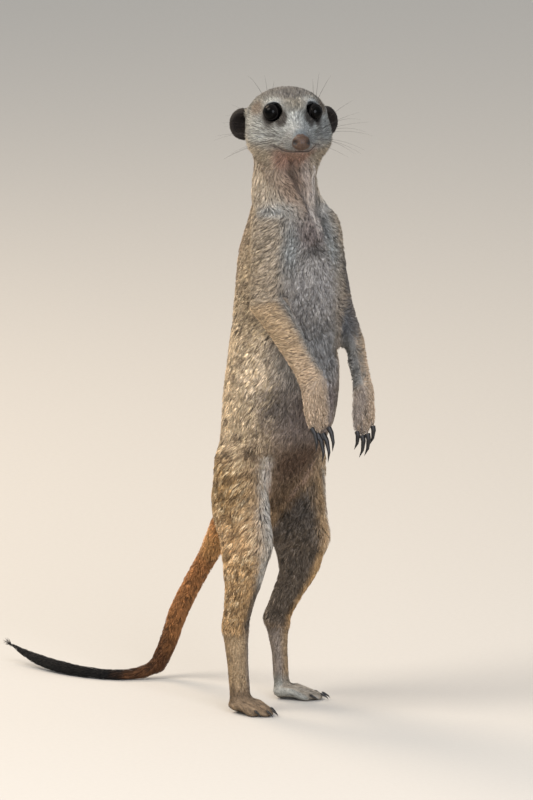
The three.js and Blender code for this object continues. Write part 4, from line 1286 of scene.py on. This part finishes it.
def addLips(skin):
    # the dark bare rim of the mouth, a flattened cord that follows the skin between the two lips
    material, tree, shader = newMaterial("lipSkin", {"Roughness": 0.6})
    mottle(tree, shader, 1800.0, 2.0, "150f0c", "2a1c15")
    half = np.array(lipLook["path"], float)
    line = np.concatenate([half[::-1], half[1:] * (1, -1, 1)])
    radius = np.concatenate([lipLook["radius"][::-1], lipLook["radius"][1:]])
    knots = np.linspace(0, len(line) - 1, 61)
    line = np.stack([np.interp(knots, np.arange(len(line)), line[:, axis]) for axis in range(3)], axis=1)
    for _ in range(4):
        line[1:-1] = line[1:-1] * 0.5 + (line[:-2] + line[2:]) * 0.25
    radius = np.interp(knots, np.arange(len(radius)), radius) * mm
    line = fromHead(line)
    normals = np.array([skin.finder.find_nearest(point)[1] for point in line.tolist()])
    line = line - normals * lipLook["sink"]
    along = unit(np.gradient(line, axis=0))
    out = unit(squareTo(normals, along))
    across = np.cross(out, along)
    points, faces = tube(line, radius, across * lipLook["flat"], out * lipLook["stand"], 8)
    piece = meshPiece("lips", points, faces, [material])
    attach(piece, "root")


clawLook = {
    "voxel": 0.17 * mm,
    "swell": {"hand": 0.42 * mm, "foot": 0.1 * mm},
}


def makeClawMaterial():
    # claw horn: nearly black keratin, fine growth lines along it and a dull polish
    material, tree, shader = newMaterial(
        "clawHorn", {"Roughness": 0.42, "Specular IOR Level": 0.35, "IOR": 1.55})
    mottle(tree, shader, 1.0, 3.0, "090808", "1d1a19", bump=(0.3, 0.0001), stretch=(900, 900, 160))
    return material


def addClaws():
    material = makeClawMaterial()
    for paw in ("hand_right", "hand_left", "foot_right", "foot_left"):
        nodes = sorted(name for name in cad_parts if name.startswith(f"claw_{paw}"))
        points, faces, _ = joinSolids(nodes, [clawLook["swell"][partOf(paw)]] * len(nodes))
        claws = Surface(*remeshed(points, faces, clawLook["voxel"])).relax(6, 1.0)
        piece = meshPiece(f"claws_{paw}", claws.points, claws.faces, [material])
        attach(piece, "root")
        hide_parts(*nodes)
        print(f"claws_{paw}: {len(claws.faces)} faces")


whiskerLook = {
    # root, and where the tip is from the root: ahead, out to the side, up
    "cheek": [((11, 8.0, -9.0), (-6, 30, 4)), ((9, 9.0, -9.2), (-11, 27, 9)),
              ((12, 7.6, -10.4), (-3, 32, -1)), ((9.5, 9.0, -10.8), (-9, 30, 0)),
              ((12.5, 7.2, -12.0), (-1, 26, -6)), ((10, 8.8, -12.4), (-7, 25, -9)),
              ((7.5, 10, -10.0), (-13, 26, 5)), ((7, 10.4, -12.0), (-13, 22, -11)),
              ((13, 6.8, -13.2), (2, 19, -8)), ((8, 10, -8.0), (-12, 20, 12))],
    "brow": [((-2.5, 11.5, 5.2), (-1, 2, 14)), ((-4.0, 12.5, 4.6), (-5, 8, 12)),
             ((-1.5, 10.2, 5.6), (3, -1, 11))],
    "thickness": 0.11 * mm, "taper": 0.85, "sag": 0.08,
}


def addWhiskers():
    # stiff dark hairs, each a tapering three-sided tube that bows under its own weight
    material, tree, shader = newMaterial("whiskerHair", {"Roughness": 0.4})
    mottle(tree, shader, 90.0, 2.0, "100c0a", "2c221b")
    steps = np.linspace(0, 1, 9)
    points, faces, total = [], [], 0
    for root, tip in whiskerLook["cheek"] + whiskerLook["brow"]:
        for sign in (-1, 1):
            start = np.array(root, float) * (1, sign, 1)
            span = np.array(tip, float) * (1, sign, 1) * random.uniform(0.86, 1.02)
            bow = np.linalg.norm(span) * whiskerLook["sag"] * random.uniform(0.4, 1.6)
            line = start + span * steps[:, None]
            line += np.array([0, 0, 1.0]) * (bow * 4 * steps * (1 - steps))[:, None]
            line = fromHead(line)
            along = unit(np.gradient(line, axis=0))
            across = unit(np.cross(along, headUp + 0.3 * headAhead))
            radius = whiskerLook["thickness"] * (1 - whiskerLook["taper"] * steps)
            hair, quads = tube(line, radius, across, np.cross(across, along), 3)
            points.append(hair)
            faces.append(quads + total)
            total += len(hair)
    piece = meshPiece("whiskers", np.concatenate(points), np.concatenate(faces), [material])
    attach(piece, "root")


scene.view_settings.view_transform = "Standard"
makeCamera()
makeLights()
makeFloor()
skin = buildSkin()
print(f"skin: {len(skin.faces)} faces")
sculpt(skin)
layCoat(skin)
skin.pointNormals = skin.normals()
addSkinPiece(skin)
print("skin: laid and unwrapped")
addEyes()
addNose()
addClaws()
addWhiskers()
prepareCoat(skin)
addLips(skin)
addCoat(skin)
